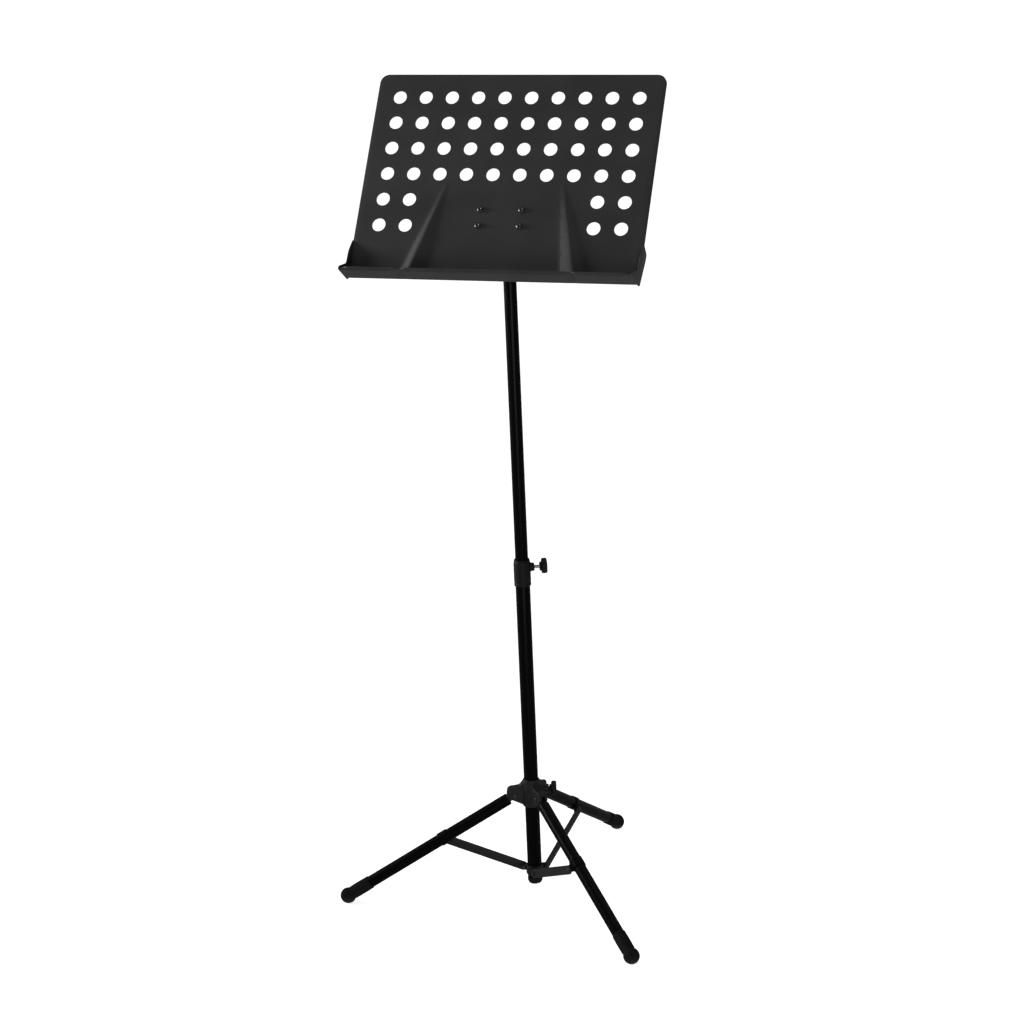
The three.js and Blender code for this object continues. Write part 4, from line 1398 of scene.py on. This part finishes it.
    def store_rubbed(self, mesh: bpy.types.Mesh, place: Place) -> None:
        """Stores where paint is rubbed: 1 on a hole's rim, falling to 0 in 1.5 mm."""
        spots = np.empty(len(mesh.vertices) * 3, np.float32)
        mesh.vertices.foreach_get("co", spots)
        own = (spots.reshape(-1, 3) - place.origin) @ place.axes.T / MM
        middles = self.hole_middles()
        away = np.linalg.norm(own[:, None, :2] - middles[None], axis=2).min(axis=1) - self.hole
        rubbed = np.clip(1 - np.abs(away) / 1.5, 0, 1)
        stored = mesh.attributes.new("rubbed", "FLOAT", "POINT")
        stored.data.foreach_set("value", rubbed.astype(np.float32))

    def hem_roll(self) -> Shell:
        """The rolled front edge: a round bead along the lip's top, with round ends."""
        end = self.half - 4.0
        x = np.concatenate([[-end], self.stations()[2:-2], [end]])
        taper = np.sqrt(np.clip(1 - (np.abs(x) / end) ** 90, 0.0, 1))
        angle = np.linspace(0, 2 * np.pi, 20, endpoint=False)
        middle = self.shelf - self.sheet + self.hem + 0.1 - self.dimple * self.run_out(x)
        points = np.empty((len(x), len(angle), 3))
        points[..., 0] = x[:, None]
        points[..., 1] = self.bend + self.lip + self.hem * taper[:, None] * np.cos(angle)
        points[..., 2] = middle[:, None] + self.hem * taper[:, None] * np.sin(angle)
        return woven(points)

    def cheek(self, side: int) -> Shell:
        """An end of the shelf: a plate in Y and Z that widens to the shelf's front."""
        y, low, high = self.bend, self.cheek_back, self.shelf + 1.2
        outline = corners_cut([
            [y - 1.2, self.flange], [y - 1.2, high], [y + 4.6, high + 0.6], [y + 22, 57.2],
            [y + 46, 55.4], [y + 66, self.front + 0.4], [y + 69, self.front - 2],
            [y + 67, self.flange], [y + 61, low], [y + 50, low],
        ][::-1], 4.0, 6, closed=True)
        low, high = sorted((side * (self.half - 1.2), side * (self.half + 1.5)))
        return slab(outline, low, high, 1.1).along(Axis.X)

    def build_bracket(self, place: Place) -> None:
        """The channel behind the desk: a base plate and two cheeks with round ends."""
        face, thick = 44.7, 3.0
        base = slab(corners_cut([[-48, -26], [48, -26], [48, 26], [-48, 26]], 7, 8, closed=True),
                    face - thick, face, 0.6)
        end = arc((0, 0), 14.0, 195, 345, 20)
        outline = np.concatenate([end, [[22.5, face - 1.5], [-22.5, face - 1.5]]])
        outline = corners_cut(outline, 1.0, closed=True)
        whole = base
        for low in (-20.5, 17.5):
            whole = whole + slab(outline, low, low + 3.0, 0.6).along(Axis.X)
        cast("TiltBracket", whole, place, Skin.DESK, "tilt_bracket", voxel=0.7)

    def build_bolts(self, place: Place) -> None:
        """Four socket-headed dome bolts through sheet and bracket, and their hexagon nuts."""
        corners = [(-1, 1), (1, 1), (-1, -1), (1, -1)]
        for number, (x, y) in enumerate(corners, start=1):
            spot = (x * self.bolt_x, y * self.bolt_y)
            piece(f"DeskBolt_{number}", self.bolt().moved(*spot), place, Skin.OXIDE,
                  f"desk_bolt_{number}")
            nut = hexagonal(5.0, [
                [3.3, 36.6], [4.9, 36.6], [5.4, 36.9], [5.9, 37.5], [5.9, 40.5], [5.4, 41.1],
                [4.9, 41.4], [3.3, 41.4],
            ]).moved(*spot)
            piece(f"DeskNut_{number}", nut, place, Skin.ZINC, f"desk_nut_{number}")

    def bolt(self) -> Shell:
        """A dome r = 5.4 at its seat with a hexagon socket, on a threaded shank."""
        rows = np.array([
            # radius, height, share of the hexagon in the radius
            [0, 47.6, 0], [1.9, 47.6, 1], [1.9, 49.1, 1], [2.4, 49.4, 0.2], [3.2, 49.15, 0],
            [4.2, 48.55, 0], [5.0, 47.75, 0], [5.35, 47.1, 0], [5.4, 46.75, 0], [5.2, 46.5, 0],
            [3.0, 46.5, 0],
        ])
        angle = np.linspace(0, 2 * np.pi, 48, endpoint=False)
        hexagon = hexagon_radius(1.0, angle) - 1
        radius = rows[:, :1] * (1 + rows[:, 2:] * hexagon)
        head = around_z(radius, rows[:, 1:2] + 0 * angle, angle)
        return woven(head) + threaded(2.95, 1.0, 34.0, 46.6)


# ------------------------------------------------------------------ stage


@dataclass(frozen=True)
class Lamp:
    """A lamp that shines at a point on the Z axis.

    Attributes:
        name: Its object's name.
        kind: Blender's kind of light.
        spot: Where it hangs, in metres.
        aim: Height of the point that it shines at, in metres.
        energy: Its strength, in watts, or for a sun in watts a square metre.
        settings: The light's own settings.
    """

    name: str
    kind: str
    spot: tuple[float, float, float]
    aim: float
    energy: float
    settings: dict[str, Any]

    def hang(self) -> None:
        """Makes the light and turns its -Z axis to the point."""
        data = bpy.data.lights.new(self.name, self.kind)
        data.energy = self.energy
        for key, value in self.settings.items():
            setattr(data, key, value)
        thing = bpy.data.objects.new(self.name, data)
        ahead = Vector((0.0, 0.0, self.aim)) - Vector(self.spot)
        turn = ahead.to_track_quat("-Z", "Y").to_matrix().to_4x4()
        thing.matrix_world = Matrix.Translation(self.spot) @ turn
        bpy.context.scene.collection.objects.link(thing)


LAMPS = (
    Lamp("TopSun", "SUN", (0.2, 0.9, 5.0), 0.8, 0.45, {"angle": math.radians(60)}),
    Lamp("RakeLamp", "AREA", (-3.4, -0.42, 1.7), 1.26, 17.0,
         {"shape": "DISK", "size": 0.9, "spread": math.radians(50)}),
    Lamp("FrontLamp", "AREA", (1.8, -3.6, 0.5), 1.1, 40.0, {"shape": "DISK", "size": 1.6}),
)


@dataclass(frozen=True)
class Studio:
    """The pale floor, the soft light and the camera."""

    yaw: float = -19.04
    pitch: float = -16.04
    roll: float = -2.48
    lens: float = 98.36
    camera_from_pole: tuple[float, float, float] = (1.47622, -4.31752, 2.01790)
    floor_half: float = 60.0
    sky: float = 0.22
    floor_glow: float = 0.8

    def build(self) -> None:
        """Makes the camera, floor, sky and lamps."""
        self.build_camera()
        self.build_floor()
        self.build_light()

    def build_camera(self) -> None:
        """The camera, turned by yaw about Z, then pitch, then roll about its own line of sight."""
        yaw, pitch, roll = (math.radians(a) for a in (self.yaw, self.pitch, self.roll))
        ahead = Vector((math.sin(yaw) * math.cos(pitch), math.cos(yaw) * math.cos(pitch),
                        math.sin(pitch)))
        right = Vector((math.cos(yaw), -math.sin(yaw), 0.0))
        up = right.cross(ahead)
        rolled_right = right * math.cos(roll) + up * math.sin(roll)
        rolled_up = up * math.cos(roll) - right * math.sin(roll)
        data = bpy.data.cameras.new("Camera")
        data.lens, data.sensor_width = self.lens, 36.0
        data.clip_end = 200.0
        camera = bpy.data.objects.new("Camera", data)
        turn = Matrix((rolled_right, rolled_up, -ahead)).transposed()
        spot = Vector(pole_place().origin) + Vector(self.camera_from_pole)
        camera.matrix_world = Matrix.Translation(spot) @ turn.to_4x4()
        bpy.context.scene.collection.objects.link(camera)
        bpy.context.scene.camera = camera

    def build_floor(self) -> None:
        """A broad pale floor with a faint mottle, left out of reflections so that black stays black."""
        half = self.floor_half
        grid = np.stack(np.meshgrid([-half, half], [-half, half]) + [np.zeros((2, 2))], axis=-1)
        shell = woven(grid / MM, around=False)
        floor = shown(mesh_of("Floor", shell, Place(np.zeros(3), np.eye(3))))
        recipe = Recipe("pale_floor")
        mottle = recipe.noise(900, 3.0)
        recipe.set(
            Base_Color=recipe.tint(mottle, (0.86, 0.86, 0.86), (0.9, 0.9, 0.9)),
            Roughness=mottle * 0.1 + 0.8,
            Specular_IOR_Level=0.1,
            Emission_Color=(1.0, 1.0, 1.0, 1.0),
            Emission_Strength=self.floor_glow,
        )
        floor.data.materials.append(recipe.material)
        floor.visible_glossy = False

    def build_light(self) -> None:
        """A dim sky, a broad sun overhead, and two soft lamps; the first rakes over the desk."""
        world = bpy.data.worlds.new("Sky")
        world.use_nodes = True
        sky = world.node_tree.nodes["Background"]
        sky.inputs["Color"].default_value = (1.0, 1.0, 1.0, 1.0)
        sky.inputs["Strength"].default_value = self.sky
        bpy.context.scene.world = world
        for lamp in LAMPS:
            lamp.hang()


def main() -> None:
    """Builds the studio and every sub-assembly in turn."""
    logging.basicConfig(level=logging.INFO, format="%(name)s: %(message)s")
    bpy.context.scene.view_settings.view_transform = "Standard"
    Studio().build()
    Pole().build()
    TripodHub().build()
    for letter in LETTERS:
        Leg(letter).build()
        Strut(letter).build()
    TiltJoint().build()
    Desk().build()


if __name__ == "__main__":
    main()
